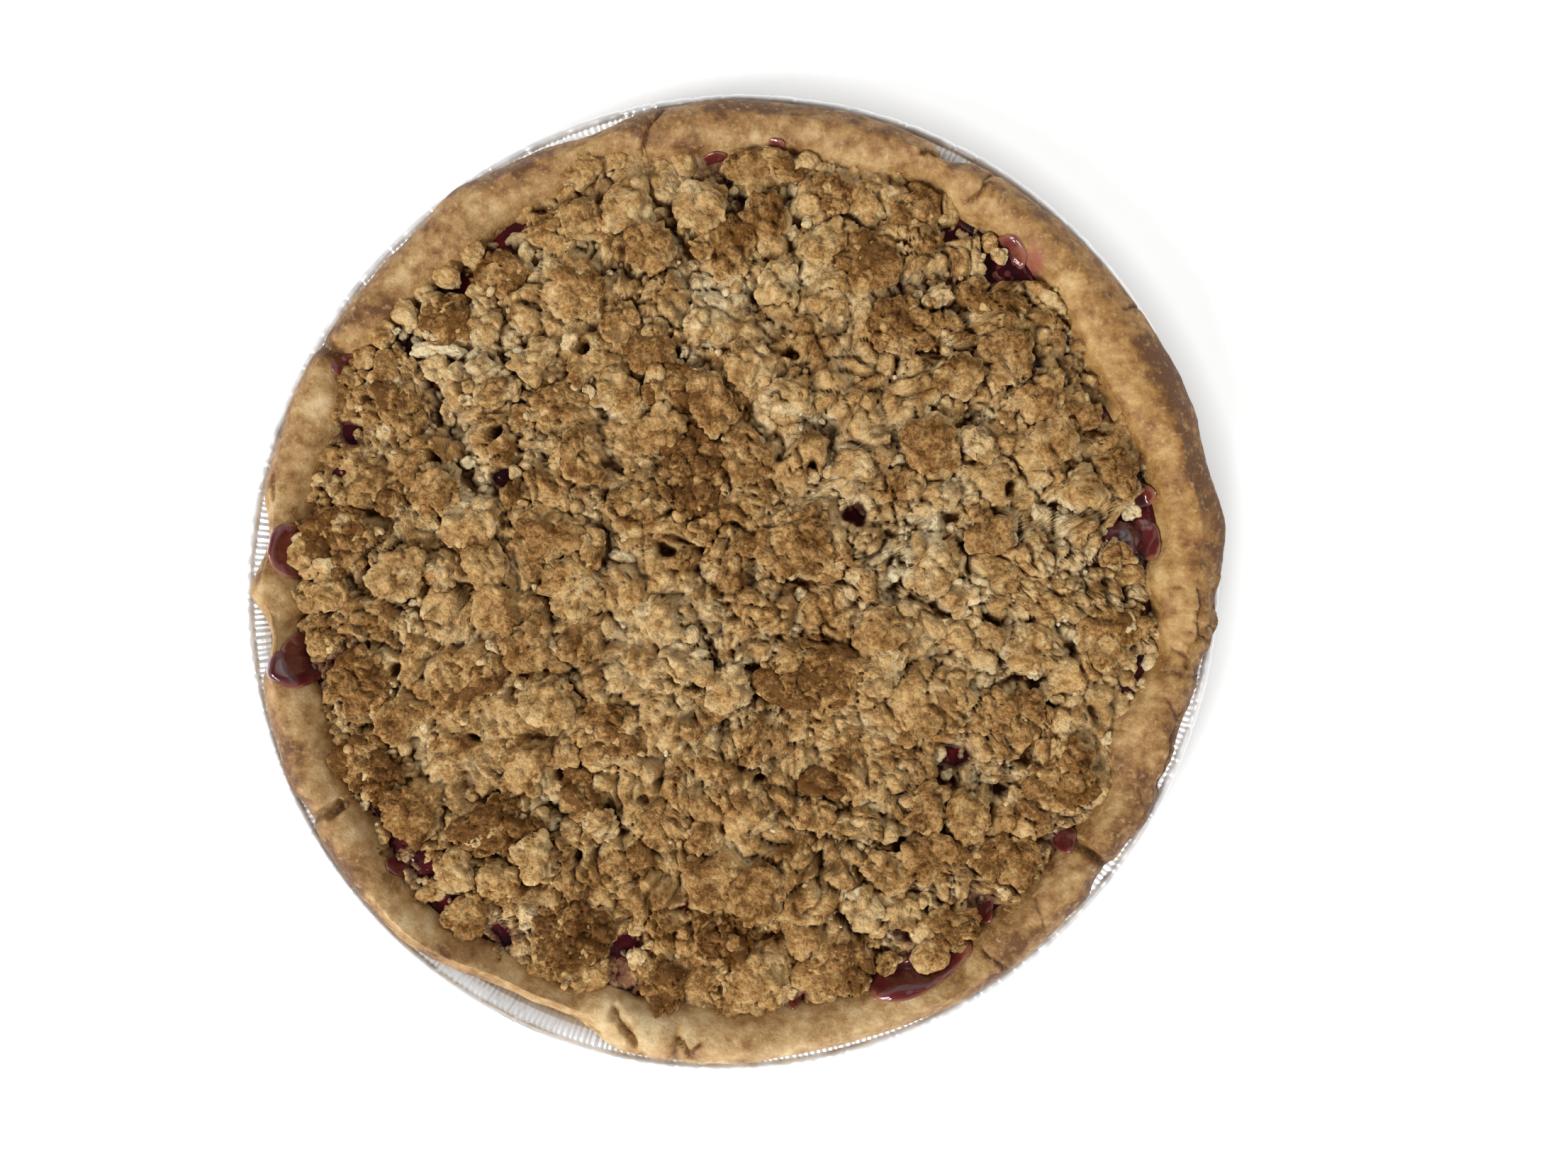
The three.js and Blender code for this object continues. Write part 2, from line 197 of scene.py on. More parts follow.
def noise(tree, scale, detail, roughness=0.5):
    """Cloudy variation over a piece, about 0.3 to 0.7"""
    look = {"Vector": on_piece(tree), "Scale": scale, "Detail": detail, "Roughness": roughness}
    return add_node(tree, "TexNoise", look).outputs[0]


def spread(tree, value, low, high, start, end):
    """The value with its run from low to high made one from start to end"""
    return add_node(tree, "MapRange", dict(enumerate((value, low, high, start, end)))).outputs[0]


def added(tree, one, other):
    return add_node(tree, "Math", {0: one, 1: other}, operation="ADD").outputs[0]


def painted(tree, name):
    """The share painted on a piece under that name"""
    return add_node(tree, "Attribute", attribute_name=name).outputs["Fac"]


def blended(tree, share, color, over, way="MIX"):
    return add_node(tree, "Mix", {0: share, 6: color, 7: over}, data_type="RGBA", blend_type=way).outputs[2]


def bump(tree, height, strength, depth, **under):
    """Fine relief of a finish, over the relief under it if there is one"""
    look = {"Height": height, "Strength": strength, "Distance": depth, **under}
    return add_node(tree, "Bump", look).outputs[0]


def linear(red, green, blue):
    """A colour as seen on screen, from 0 to 255, as the renderer's own linear colour"""
    shares = [value / 255 for value in (red, green, blue)]
    return (*[s / 12.92 if s <= 0.04045 else ((s + 0.055) / 1.055) ** 2.4 for s in shares], 1)


def color_steps(tree, fac, steps):
    """A blend through colours, as (place from 0 to 1, colour on screen)"""
    ramp = add_node(tree, "ValToRGB", {0: fac})
    stops = ramp.color_ramp.elements
    while len(stops) < len(steps):
        stops.new(0.5)
    for stop, (place, color) in zip(stops, steps):
        stop.position = place
        stop.color = linear(*color)
    return ramp.outputs[0]


def foil_finish():
    """Bright rolled foil with faint crinkles; its crushed creases scatter light as paint does"""
    finish, tree, shader = new_finish("rolled_foil")
    film = noise(tree, 60, 3)
    plug(shader, {
        "Metallic": spread(tree, painted(tree, "crushed"), 0, 1, 1, 0.2),
        "Base Color": color_steps(tree, film, [(0.3, (234, 234, 235)), (0.7, (246, 246, 247))]),
        "Roughness": spread(tree, film, 0.3, 0.7, 0.42, 0.56),
        "Normal": bump(tree, noise(tree, 260, 3), 0.3, 0.0006),
    })
    return finish


def tin_rows():
    """Rows from the middle of the underside, out round the curl and back inside to the middle of the floor"""
    draws = np.random.default_rng(411)
    pitch = 360 / FLUTES
    even = np.arange(FLUTES) * pitch
    top = even + pitch * draws.uniform(-0.2, 0.2, FLUTES)
    foot = even + pitch * draws.uniform(-0.42, 0.42, FLUTES)
    tall = draws.uniform(0.65, 1.1, (2, FLUTES))
    tall[:, draws.uniform(size=FLUTES) < 0.1] *= 0.65
    shares, heights = np.array(COLUMNS_PER_FLUTE), np.array(HEIGHTS_PER_FLUTE)
    nick_places = draws.uniform(0, 360, CURL_NICKS)

    def columns(up):
        ridges = foot + (top - foot) * up
        following = np.append(ridges[1:], ridges[0] + 360)
        return (ridges[:, None] + (following - ridges)[:, None] * shares).ravel()

    def fluted(radius, z, facing, up, share, skin):
        """A row of the wall or flange; facing is its outward direction and skin how far out of the inside"""
        own = tall[0] + (tall[1] - tall[0]) * up
        weight = own[:, None] * (shares < 0.5) + np.append(own[1:], own[0])[:, None] * (shares >= 0.5)
        out = skin + share * FLUTE_DEPTH * ((heights * weight).ravel() - 0.3)
        return round_row(columns(up), radius + facing[0] * out, z + facing[1] * out)

    run, rise = np.subtract(WALL_TOP, WALL_FOOT)
    wall_facing = np.array([rise, -run]) / math.hypot(run, rise)
    profile = []
    for up in np.linspace(0, 0.9, WALL_ROWS):
        radius, z = WALL_FOOT[0] + run * up, WALL_FOOT[1] + rise * up
        profile.append((radius, z, wall_facing, up, min(1, up / FLUTES_BEGIN)))
    shoulder = [
        (105.4, 26.9, (0.7, -0.7), 1, 0.7), (106.3, 27.9, (0.6, -0.8), 1, 0.6),
        (107.3, 28.6, (0.4, -0.92), 1, 0.58), (108.4, 29.0, (0.25, -0.97), 1, 0.58),
        (109.4, 29.25, (0.15, -0.99), 1, 0.58), (110.3, 29.4, (0, -1), 1, 0.45),
    ]
    around = columns(1)
    away = np.abs((around[:, None] - nick_places + 180) % 360 - 180)
    circle = round_row(around, tin_radius, 0)
    nicks = NICK_DEPTH * np.exp(-((away / NICK_WIDTH) ** 2)).sum(-1)
    size = CURL_RADIUS - BEAD_WORN + swells(circle, BEAD_DENTS) - nicks
    curl = []
    for cos, sin in map(heading, range(-160, 161, 32)):
        z = FLANGE_Z - FOIL / 2 + size * sin + swells(circle, BEAD_WAVES)
        curl.append(round_row(around, tin_radius - CURL_RADIUS + size * cos, z))
    base = [(0, PANEL_Z), (PANEL_RADIUS, PANEL_Z), (FOOT_RADII[0], 0), (FOOT_RADII[1], 0)]
    widths = (FOOT_RADII[1] - 0.1, FOOT_RADII[0] + 0.2, PANEL_RADIUS + 0.2, 0)
    floor = zip(widths, (FOIL, FOIL, PANEL_Z + FOIL, PANEL_Z + FOIL))
    under, inside = ([round_row(columns(0), *at) for at in places] for places in (base, floor))
    outer_skin = [fluted(*row, FOIL) for row in profile + shoulder[1::2]]
    inner_skin = [fluted(*row, 0) for row in profile[:1] + profile[3:6:2] + shoulder]
    return [*under, *outer_skin, *curl, *inner_skin[::-1], *inside]


tin_points, tin_faces = turned(tin_rows())
tin = lay_mesh("foil_tin", tin_points, tin_faces, foil_finish())
# The flutes are creased sharp, the bead is rolled round
on_bead = polar(tin_points)[1] > tin_radius - 2 * CURL_RADIUS
tin.data.polygons.foreach_set("use_smooth", on_bead[[face[0] for face in tin_faces]])
paint(tin, "crushed", on_bead * (0.55 + 0.45 * swell(tin_points, 3, 7)).clip(0, 1))
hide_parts("pie_tin")
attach(tin, "root")

# ---- Pastry case and rim -------------------------------------------------------------------------------
# Shortcrust rolled out, laid in the tin and folded under at the edge into a fat round rim on the flange. It
# is joined with seams and folds, it drew back from the tin while it baked, and its outer side browned most.
# Its cracks and folds, and parts of its outer slopes, are darkened further as painted shade.
GAP = 0.4
WALL_GAP = 0.6
EDGE_EASE = 0.8
WELL_ABOVE = 50
FLOOR_Z = 5.2
FLOOR_RADIUS = 80
RIM_INNER_RADIUS = 97.5
RIM_OUTER_RADIUS = 109.3
RIM_CROWN_Z = 37.4
RIM_BACK = [(0, 0.3), (0.9, 0.62), (3, 0.91)]
RIM_FOOT = (-1.2, -2.4)
RIM_SLOPE = [(0.4, 0.2), (2.6, 0.72)]
FILLING_Z = 31
RIM_COLUMNS = 1500
SAMPLES_PER_SPAN = 5
# Changes on the way round, as [angle, half width in degrees, change in mm]
INNER_CHANGES = [
    (107, 9, 4), (65, 8, 3.5), (0, 6, -3.5), (-10, 5, 2), (-22, 7, -4.5), (-60, 9, 5), (-105, 7, -2.5),
    (-133, 14, 4), (-173, 9, 3), (176, 7, 3), (150, 6, 5), (130, 8, -2), (29, 17, -2.8),
]
OUTER_CHANGES = [
    (-118, 17, -4.8), (-109.5, 7, -2.0), (-152.6, 3, -1.0), (108, 8, -1.9), (174, 6, -2.8), (-174, 6, -3.4),
    (180.5, 3, 0.8), (-38.5, 3.5, -1.6), (63, 3.4, -1.8), (126, 6, 1.3), (84, 10, -0.9), (13, 8, -1.3),
    (-6, 5, 1.6), (-30, 5, 1.1), (-74, 16, -0.5), (-18, 6, -0.6), (-156, 6, 0.8), (60, 16, -0.2),
]
# How far inward the outer side's roll over its own foot reaches, and how far out it rolls
ROLL_DEPTH = 3.5
OUTER_ROLL = [(22, 46, 1.9), (6, 13, 2.2), (84, 24, 0.9)]
CROWN_CHANGES = [(-112, 16, -1.8), (-165, 13, 0.8), (61, 5, 0.8), (-25, 10, -1.2), (20, 16, 0.8)]
FOLDS = [
    (149.6, 1.6, 3.4), (65, 0.8, 1.1), (57.5, 0.8, 0.6), (-12, 0.6, 0.8), (-37, 1.1, 4.6), (-96, 1.0, 1.6),
    (-102.5, 1.1, 1.2), (-151, 0.9, 2.6),
]
# Where a fold runs askew, as [angle, half width, degrees from its middle to the outer edge]
ASKEW = (-102.5, 8, 3.2)
# Cracks as points [angle, radius], then width and depth in mm
RIM_CRACKS = [
    ([(102.4, 98.5), (102, 101.4), (100.6, 105), (99, 108.6)], 0.34, 1.4),
    ([(34.7, 107.2), (33.9, 110.6)], 0.4, 1.1), ([(66.4, 105), (64.5, 106.8), (60, 110)], 0.5, 1.5),
    ([(57.3, 106.5), (56.4, 105.4), (56.2, 103.6)], 0.35, 0.5),
    ([(56.4, 110.2), (58, 107.6), (57.7, 104), (57.8, 102), (58.6, 99.6)], 0.34, 1.3),
    ([(-16, 106.5), (-21, 107.4), (-26, 109)], 0.35, 0.9), ([(58.1, 105.6), (56.8, 105.2)], 0.3, 0.35),
    ([(-55.2, 102), (-54.1, 109)], 0.45, 1.2), ([(166.1, 107), (169, 105.4)], 0.4, 1.1),
    ([(-150.9, 100.6), (-150.2, 103.2)], 0.9, 1.8), ([(-1.2, 100), (-1.4, 102)], 0.4, 0.8),
    ([(-1.4, 105.6), (-3.5, 106.6), (-5.4, 105.3), (-6.8, 106.8), (-8.8, 105), (-11.1, 104.5)], 0.5, 1.4),
    ([(-6.8, 106.6), (-7.4, 109.5)], 0.45, 0.9), ([(-9, 101), (-9.8, 104.4)], 0.35, 0.7),
    ([(-15, 101.5), (-17.5, 106)], 0.35, 0.6), ([(-27, 104), (-28.6, 106.4)], 0.3, 0.4),
    ([(-104.6, 99.6), (-103.6, 101.6), (-101.9, 104.4), (-101.2, 106)], 0.9, 2.2),
    ([(-95.8, 103), (-94.5, 106.8)], 0.7, 1.9), ([(-93, 103.2), (-94.5, 106.8)], 0.45, 1.1),
    ([(-110, 104.3), (-108.5, 104.7)], 0.5, 0.5), ([(-107.4, 105), (-106, 105.6)], 0.45, 0.45),
    ([(112.5, 103.6), (109, 105)], 0.3, 0.35), ([(83, 106), (80, 107)], 0.3, 0.35),
    ([(-46, 100), (-47.5, 106)], 0.3, 0.5),
]
# The bulges of the dough, as [height, size, salt]
RIM_BULGES = [(0.5, 15, 11), (0.26, 6, 12), (0.1, 2.4, 13)]
# How brown it baked all the way across, and more so at its outer side, as [angle, half width, share]
BROWN_ALL_OVER = 0.41
BROWN_TURNS = [
    (88, 52, 0.18), (-4, 30, 0.05), (42, 26, 0.14), (-96, 40, -0.12), (140, 60, 0.14), (-46, 26, 0.22),
]
BROWN_PLACES = [
    (138, 32, 0.4), (-28, 12, 0.3), (28, 14, 0.15), (5, 14, 0.1), (-160, 20, 0.2), (72, 12, 0.3),
    (12, 50, 0.1), (100, 55, 0.6), (-46, 24, 0.5), (-4, 12, 0.3), (-95, 30, 0.2),
]
# Brown that comes in across the rim, partly baked brown and partly painted shade on the outer slopes, as
# [angle, half width, share, from, to], from 0 inside to 1 outside
BROWN_AND_SHADE_FLANKS = [(5, 75, 0.34, -0.2, 0.9), (-135, 36, 0.25, 0.5, 1), (-155, 24, 0.42, 0.1, 0.8)]
SOAKED_PLACE = (67.4, 72.2)
SOAKED_HALF_SIZE = (3.2, 4.6)


def bump_at(degrees, at, half):
    """A smooth bump, 1 at the angle and 0 from half degrees away"""
    away = np.abs((degrees - at + 180) % 360 - 180)
    return np.where(away < half, np.cos(np.minimum(away / half, 1) * (math.pi / 2)) ** 2, 0)


def changed(degrees, start, changes):
    return start + sum(change * bump_at(degrees, at, half) for at, half, change in changes)


def wave(degrees, turns, phase, size):
    return size * np.sin(np.radians(degrees * turns + phase))


def rim_inner(degrees):
    return changed(degrees, RIM_INNER_RADIUS + wave(degrees, 9, 40, 0.6), INNER_CHANGES)


def rim_outer(degrees):
    return changed(degrees, RIM_OUTER_RADIUS + wave(degrees, 5, 10, 0.25), OUTER_CHANGES)


def rim_crown(degrees):
    folds = changed(degrees, 0, FOLDS)
    return changed(degrees, RIM_CROWN_Z + wave(degrees, 7, 0, 0.35), CROWN_CHANGES) - folds


def inner_slope(degrees):
    """The rim's profile from its foot under the filling up to its crown, as (radius, z) pairs"""
    inner, crown = rim_inner(degrees), rim_crown(degrees)
    rise = crown - FILLING_Z
    return [
        (inner + RIM_FOOT[0], FILLING_Z + RIM_FOOT[1] + 0 * inner),
        *[(inner + out, FILLING_Z + share * rise) for out, share in RIM_SLOPE],
        ((inner + rim_outer(degrees)) / 2 + 0.6, crown),
    ]


def smooth_through(knots, samples):
    """Rows along a smooth curve through the knots, each an array of (radius, z)"""
    rows = []
    for i in range(1, len(knots) - 2):
        before, start, end, after = knots[i - 1 : i + 3]
        for t in np.arange(samples) / samples:
            bend = 2 * start + (end - before) * t + (2 * before - 5 * start + 4 * end - after) * t**2
            rows.append(0.5 * (bend + (3 * start - before - 3 * end + after) * t**3))
    return rows


def normals_of(grid):
    """Outward directions of a grid of points [row, column], which closes round the pie"""
    along = np.gradient(grid, axis=0)
    across = np.roll(grid, -1, axis=1) - np.roll(grid, 1, axis=1)
    out = np.cross(across, along)
    return out / np.maximum(np.linalg.norm(out, axis=-1, keepdims=True), 1e-9)


def knobs(points, size, salt):
    """For broken pieces packed side by side: distance to the nearest one's middle and on to the seam beside
    it, both in piece sizes, a draw of that piece's own, and how its top leans there"""
    spots = points / size
    base = np.floor(spots).astype(np.int64)
    nearest, second = np.full(len(points), 9.0), np.full(len(points), 9.0)
    home = base.copy()

    def draws_of(cell, first):
        return np.stack([cell_draw(cell, first + k) for k in range(3)], axis=-1)

    for step in itertools.product((-1, 0, 1), repeat=3):
        cell = base + np.array(step)
        away = np.linalg.norm(spots - cell - draws_of(cell, salt), axis=-1)
        closer = away < nearest
        second = np.where(closer, nearest, np.minimum(second, away))
        home = np.where(closer[:, None], cell, home)
        nearest = np.where(closer, away, nearest)
    lean = ((spots - home - draws_of(home, salt)) * (draws_of(home, salt + 4) - 0.5)).sum(-1)
    return nearest, second - nearest, cell_draw(home, salt + 3), 2 * lean


def crack_depth(points, cracks):
    """How deep the cracks cut at each point, in millimetres"""
    flat = points[..., :2] + 0.45 * np.stack([swell(points, 1.8, 61), swell(points, 1.8, 62)], axis=-1)
    total = np.zeros(points.shape[:-1])
    for corners, width, depth in cracks:
        ends = [radius * np.array(heading(degrees)) for degrees, radius in corners]
        for start, end in zip(ends[:-1], ends[1:]):
            line = end - start
            share = np.clip(((flat - start) @ line) / (line @ line), 0, 1)
            away = np.linalg.norm(flat - start - share[..., None] * line, axis=-1)
            total = np.maximum(total, depth * np.exp(-((away / width) ** 2)))
    return total


def pastry_rows():
    degrees = np.arange(RIM_COLUMNS) * 360 / RIM_COLUMNS - 180
    outer, crown = rim_outer(degrees), rim_crown(degrees)
    askew = ASKEW[2] * bump_at(degrees, *ASKEW[:2])
    lying = FLANGE_Z + GAP
    roll = changed(degrees, 0.1, OUTER_ROLL)
    on_flange = np.clip((outer - FLANGE_RADIUS) / EDGE_EASE + 1, 0, 1)
    wall_slope = (WALL_TOP[1] - WALL_FOOT[1]) / (WALL_TOP[0] - WALL_FOOT[0])
    drawn_back_z = WALL_FOOT[1] + (outer - 2 + WALL_GAP - WALL_FOOT[0]) * wall_slope
    leaves_z = np.minimum(WALL_TOP[1] - 0.6, drawn_back_z + WELL_ABOVE * on_flange)
    leaves_radius = WALL_FOOT[0] + (leaves_z - WALL_FOOT[1]) / wall_slope - WALL_GAP - 0.3
    shelf = np.where(on_flange > 0.5, FLANGE_RADIUS - 0.9, outer - 1.2)
    slope = inner_slope(degrees)
    inner_fold = inner_slope(degrees + askew)
    rise = rim_crown(degrees - askew) - lying
    back = [(outer + roll * (1 - far / ROLL_DEPTH) - far, lying + share * rise) for far, share in RIM_BACK]
    knots = [
        (leaves_radius, leaves_z), (shelf, lying + 0 * shelf), (outer - 1, lying + 0 * shelf), *back,
        (slope[-1][0] + 0.5 * roll, crown), *inner_fold[-2::-1], (slope[0][0] - 1.5, slope[0][1] - 3),
    ]
    rim = smooth_through([np.stack(knot, axis=-1) for knot in knots], SAMPLES_PER_SPAN)
    rim = np.stack([round_row(degrees, row[:, 0], row[:, 1]) for row in rim])
    flat = rim.reshape(-1, 3)
    turn, away = polar(flat)
    relief = swells(flat, RIM_BULGES)
    near, _, own, _ = knobs(flat, 2.8, 14)
    relief += 0.3 * np.clip(0.42 - near, 0, 1) * (own > 0.6)
    relief += 0.05 * (knobs(flat, 1.2, 19)[2] - 0.5)
    flaky = bump_at(turn, -6, 11) * np.clip((away - 99) / 4, 0, 1)
    flaky += 0.5 * bump_at(turn, -24, 13)
    _, seam, own, lean = knobs(flat, 4.2, 23)
    relief += flaky * (0.8 * (own - 0.5) + 0.8 * lean - 0.5 * np.exp(-((seam / 0.1) ** 2)))
    relief -= crack_depth(flat, RIM_CRACKS)
    out = normals_of(rim).reshape(-1, 3)
    hold = np.clip((flat[:, 2] - lying) / 1.2, 0, 1)
    rim = (flat + out * (relief * hold)[:, None]).reshape(rim.shape)
    floor = ((FLOOR_RADIUS, FLOOR_Z + 1), (FLOOR_RADIUS - 3, FLOOR_Z), (0, FLOOR_Z))
    over_panel, over_foot = PANEL_Z + FOIL + GAP, FOIL + GAP
    under = [
        (0, over_panel), (PANEL_RADIUS - 0.4, over_panel), (FOOT_RADII[0] + 0.4, over_foot),
        (FOOT_RADII[1] - 0.6, over_foot), (WALL_FOOT[0] + 0.6 / wall_slope - WALL_GAP - 0.3, 2),
        (leaves_radius, leaves_z),
    ]
    return [*[round_row(degrees, *at) for at in under], *rim, *[round_row(degrees, *at) for at in floor]]


def pastry_finish():
    """Baked shortcrust: dull tan with soft browner blotches and paler freckles, and a faint butter sheen"""
    finish, tree, shader = new_finish("baked_pastry")
    mottle = noise(tree, 330, 5, 0.65)
    blotches = spread(tree, noise(tree, 95, 4, 0.6), 0.3, 0.7, -0.36, 0.36)
    brown = added(tree, blotches, spread(tree, mottle, 0.3, 0.7, -0.28, 0.28))
    # The brown painted on the pastry includes painted shade in its cracks and folds and on parts of its outer
    # slopes
    color = color_steps(tree, added(tree, painted(tree, "brown"), brown), [
        (0.0, (203, 180, 139)), (0.25, (186, 155, 110)), (0.5, (165, 130, 83)),
        (0.75, (138, 100, 56)), (1.0, (98, 63, 31)),
    ])
    color = blended(tree, painted(tree, "golden"), color, (0.98, 0.91, 0.72, 1), "MULTIPLY")
    freckles = spread(tree, noise(tree, 700, 3, 0.6), 0.56, 0.74, 0, 0.5)
    color = blended(tree, freckles, color, linear(204, 176, 130))
    plug(shader, {
        "Base Color": blended(tree, painted(tree, "stain"), color, linear(152, 84, 72)),
        "Normal": bump(tree, mottle, 0.45, 0.001, Normal=bump(tree, noise(tree, 1400, 2), 0.4, 0.0005)),
        "Roughness": 0.58,
        "Specular IOR Level": 0.35,
        "Subsurface Weight": 0.08,
        "Subsurface Radius": (0.004, 0.002, 0.001),
    })
    return finish


def eased(values, low, high):
    share = np.clip((values - low) / (high - low), 0, 1)
    return share * share * (3 - 2 * share)


pastry_points, pastry_faces = turned(pastry_rows())
pastry = lay_mesh("pastry_rim", pastry_points, pastry_faces, pastry_finish())
around, away = polar(pastry_points)
outward = (away - rim_inner(around)) / (rim_outer(around) - rim_inner(around))
flank_brown = changed(around, 0, BROWN_PLACES)
brown_and_painted_shade = changed(around, BROWN_ALL_OVER, BROWN_TURNS) + 0.1 * swell(pastry_points, 22, 31)
# Partly baked brown, partly painted shade on the outer slopes
for at, half, share, start, end in BROWN_AND_SHADE_FLANKS:
    brown_and_painted_shade += share * bump_at(around, at, half) * eased(outward, start, end)
brown_and_painted_shade += 0.26 * np.clip(outward - 0.5, 0, 0.7) * (1 + flank_brown)
brown_and_painted_shade += 0.16 * flank_brown * eased(outward, 0.1, 0.8)
# Cracks and folds are painted browner, as shade
brown_and_painted_shade += 0.45 * np.clip(crack_depth(pastry_points, RIM_CRACKS), 0, 1)
fold_turn = ASKEW[2] * bump_at(around, *ASKEW[:2]) * (2 * outward - 1)
brown_and_painted_shade += 0.1 * np.clip(changed(around - fold_turn, 0, FOLDS), 0, 4)
paint(pastry, "brown", np.clip(brown_and_painted_shade, 0, 1))
paint(pastry, "golden", np.clip(bump_at(around, 20, 62) + 0.25 * swell(pastry_points, 30, 33), 0, 1))
# Syrup soaked in pink beside one of the drops
soaked_away = np.linalg.norm((pastry_points[:, :2] - SOAKED_PLACE) / SOAKED_HALF_SIZE, axis=-1)
paint(pastry, "stain", 0.75 * eased(1.25 - soaked_away + 0.3 * swell(pastry_points, 2.5, 34), 0, 1))
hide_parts("pastry_crust")
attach(pastry, "root")

# ---- Cherry filling ------------------------------------------------------------------------------------
# Cherries in a thick red syrup, poured in up to a level. It sets in the oven to a soft glossy gel with the
# fruit as dark lumps in it, and it shows only at the rim and through gaps in the crumble.
FILLING_RINGS = 44
FILLING_LUMP = 13
FILLING_DEPTH = 6


def ring_points(rings, edge_at, height_at):
    """Points in rings of 6, 12, 18 ... out to an uneven edge, and the faces between them"""
    degrees = [np.zeros(1)] + [60 * np.arange(6 * ring) / ring for ring in range(1, rings + 1)]
    shares = np.concatenate([np.full(len(d), ring / rings) for ring, d in enumerate(degrees)])
    degrees = np.concatenate(degrees)
    radius = edge_at(degrees) * shares
    points = round_row(degrees, radius, 0.0 * degrees)
    points[:, 2] = height_at(points, degrees, radius)
    faces = []
    for ring in range(1, rings + 1):
        start, below = 1 + 3 * ring * (ring - 1), 1 + 3 * (ring - 1) * (ring - 2)
        for side in range(6):
            for i in range(ring):
                outer = start + side * ring + i
                following = start + (side * ring + i + 1) % (6 * ring)
                inner = below + (side * (ring - 1) + i) % max(6 * (ring - 1), 1) if ring > 1 else 0
                faces.append((outer, following, inner))
                if i > 0:
                    faces.append((outer, inner, below + side * (ring - 1) + i - 1))
    return points, faces


def closed_below(points, faces, rings, z):
    """The same skin with a wall down from its edge and a flat base"""
    start = 1 + 3 * rings * (rings - 1)
    edge = points[start:].copy()
    edge[:, 2] = z
    count, base = len(edge), len(points)
    faces = faces + band(base, start, count) + fan(base + count, base, count)
    return np.concatenate([points, edge, [[0, 0, z]]]), faces


def filling_height(points, degrees, radius):
    near, _, own, _ = knobs(points, FILLING_LUMP, 41)
    cherries = 1.5 * np.clip(0.6 - near, 0, 1) / 0.6 * (own > 0.25)
    return FILLING_Z - 0.6 + cherries + 0.25 * swell(points, 6, 44)


def filling_finish():
    """Set cherry syrup over dark fruit: deep red, wet, a little see-through, with its red darkened further as
    painted shade of the gaps it is seen through
    """
    finish, tree, shader = new_finish("cherry_filling")
    # Partly the fruit's own deep red, partly painted shade
    fruit = [(0.35, (40, 14, 20)), (0.55, (66, 18, 24)), (0.7, (94, 20, 26))]
    plug(shader, {
        "Base Color": color_steps(tree, noise(tree, 150, 2), fruit),
        "Normal": bump(tree, noise(tree, 480, 2), 0.35, 0.0008),
        "Roughness": 0.14,
        "IOR": 1.34,
    })
    return finish


filling_skin = ring_points(FILLING_RINGS, lambda degrees: rim_inner(degrees) + 0.6, filling_height)
filling_shell = closed_below(*filling_skin, FILLING_RINGS, FILLING_Z - FILLING_DEPTH)
filling = lay_mesh("cherry_filling_gel", *filling_shell, filling_finish())
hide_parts("cherry_filling")
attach(filling, "root")

# ---- Cherry at the right edge --------------------------------------------------------------------------
# One stoned cherry pushed up against the rim. Its skin is cooked: dark, wrinkled and wet with syrup.
CHERRY_HALF_SIZE = (5.9, 5.6, 4.9)
CHERRY_PLACE = (88.4, 8.4, 29.8)


def ball(fineness):
    """Unit points and faces of an even ball"""
    work = bmesh.new()
    bmesh.ops.create_icosphere(work, subdivisions=fineness, radius=1)
    points = np.array([vert.co[:] for vert in work.verts])
    faces = [[vert.index for vert in face.verts] for face in work.faces]
    work.free()
    return points, faces


def cherry_finish():
    """Cooked cherry skin: near black red, with a wet coat"""
    finish, tree, shader = new_finish("cherry_skin")
    streaks = noise(tree, 300, 3)
    plug(shader, {
        "Base Color": color_steps(tree, streaks, [(0.35, (34, 10, 20)), (0.65, (82, 20, 30))]),
        "Normal": bump(tree, streaks, 0.5, 0.001),
        "Roughness": 0.22,
        "Coat Weight": 0.7,
        "Coat Roughness": 0.08,
    })
    return finish


cherry_ball, cherry_faces = ball(5)
cherry_points = cherry_ball * CHERRY_HALF_SIZE
wrinkles = 0.34 * np.abs(swell(cherry_points, 2.4, 51)) + 0.25 * swell(cherry_points, 4, 52)
cherry_points = cherry_points + cherry_ball * (wrinkles - 0.25)[:, None] + CHERRY_PLACE
cherry = lay_mesh("cherry_on_edge", cherry_points, cherry_faces, cherry_finish())
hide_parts("cherry")
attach(cherry, "root")

# ---- Syrup boiled over the rim -------------------------------------------------------------------------
# Where the filling boiled up, its syrup crept over the inner slope of the rim and set there in smooth thick
# drops and puddles, bright red where thin and dark where thick.
# Each as [x, y, half width, half depth, turn, thickness]
SYRUP_DROPS = [
    (-99.0, -17.6, 6.0, 4.4, 11, 1.5), (-96.8, -15.2, 4.6, 5.8, 10, 1.1), (-100.3, 8.8, 4.6, 6.3, 10, 0.8),
    (91.6, 19.2, 4.6, 3.6, -20, 0.7), (94.6, 9.8, 3.4, 5.2, 8, 0.8), (61.6, 72.6, 4.4, 6.0, 10, 0.4),
    (44.3, -87.2, 12.8, 5.6, 28, 1.3), (58.8, -74.8, 2.6, 3.8, -20, 0.9), (76.4, -58.6, 2.8, 3.4, 20, 0.9),
    (15.2, -93.8, 2.4, 2.8, 0, 0.8), (-75.2, -64.0, 3.6, 1.6, -35, 0.6), (-88, 50.4, 3.2, 2.8, 0, 0.8),
    (-5.4, 95.8, 3.6, 2.2, 20, 0.8), (-13.2, 94.4, 3.2, 1.1, 0, 0.5), (37.6, 90.6, 1.9, 1.3, 0, 0.5),
    (9.2, 99.4, 2.2, 0.9, -10, 0.4), (-45.4, 83.6, 2.8, 1.2, 40, 0.4),
]
DROP_RINGS = 14
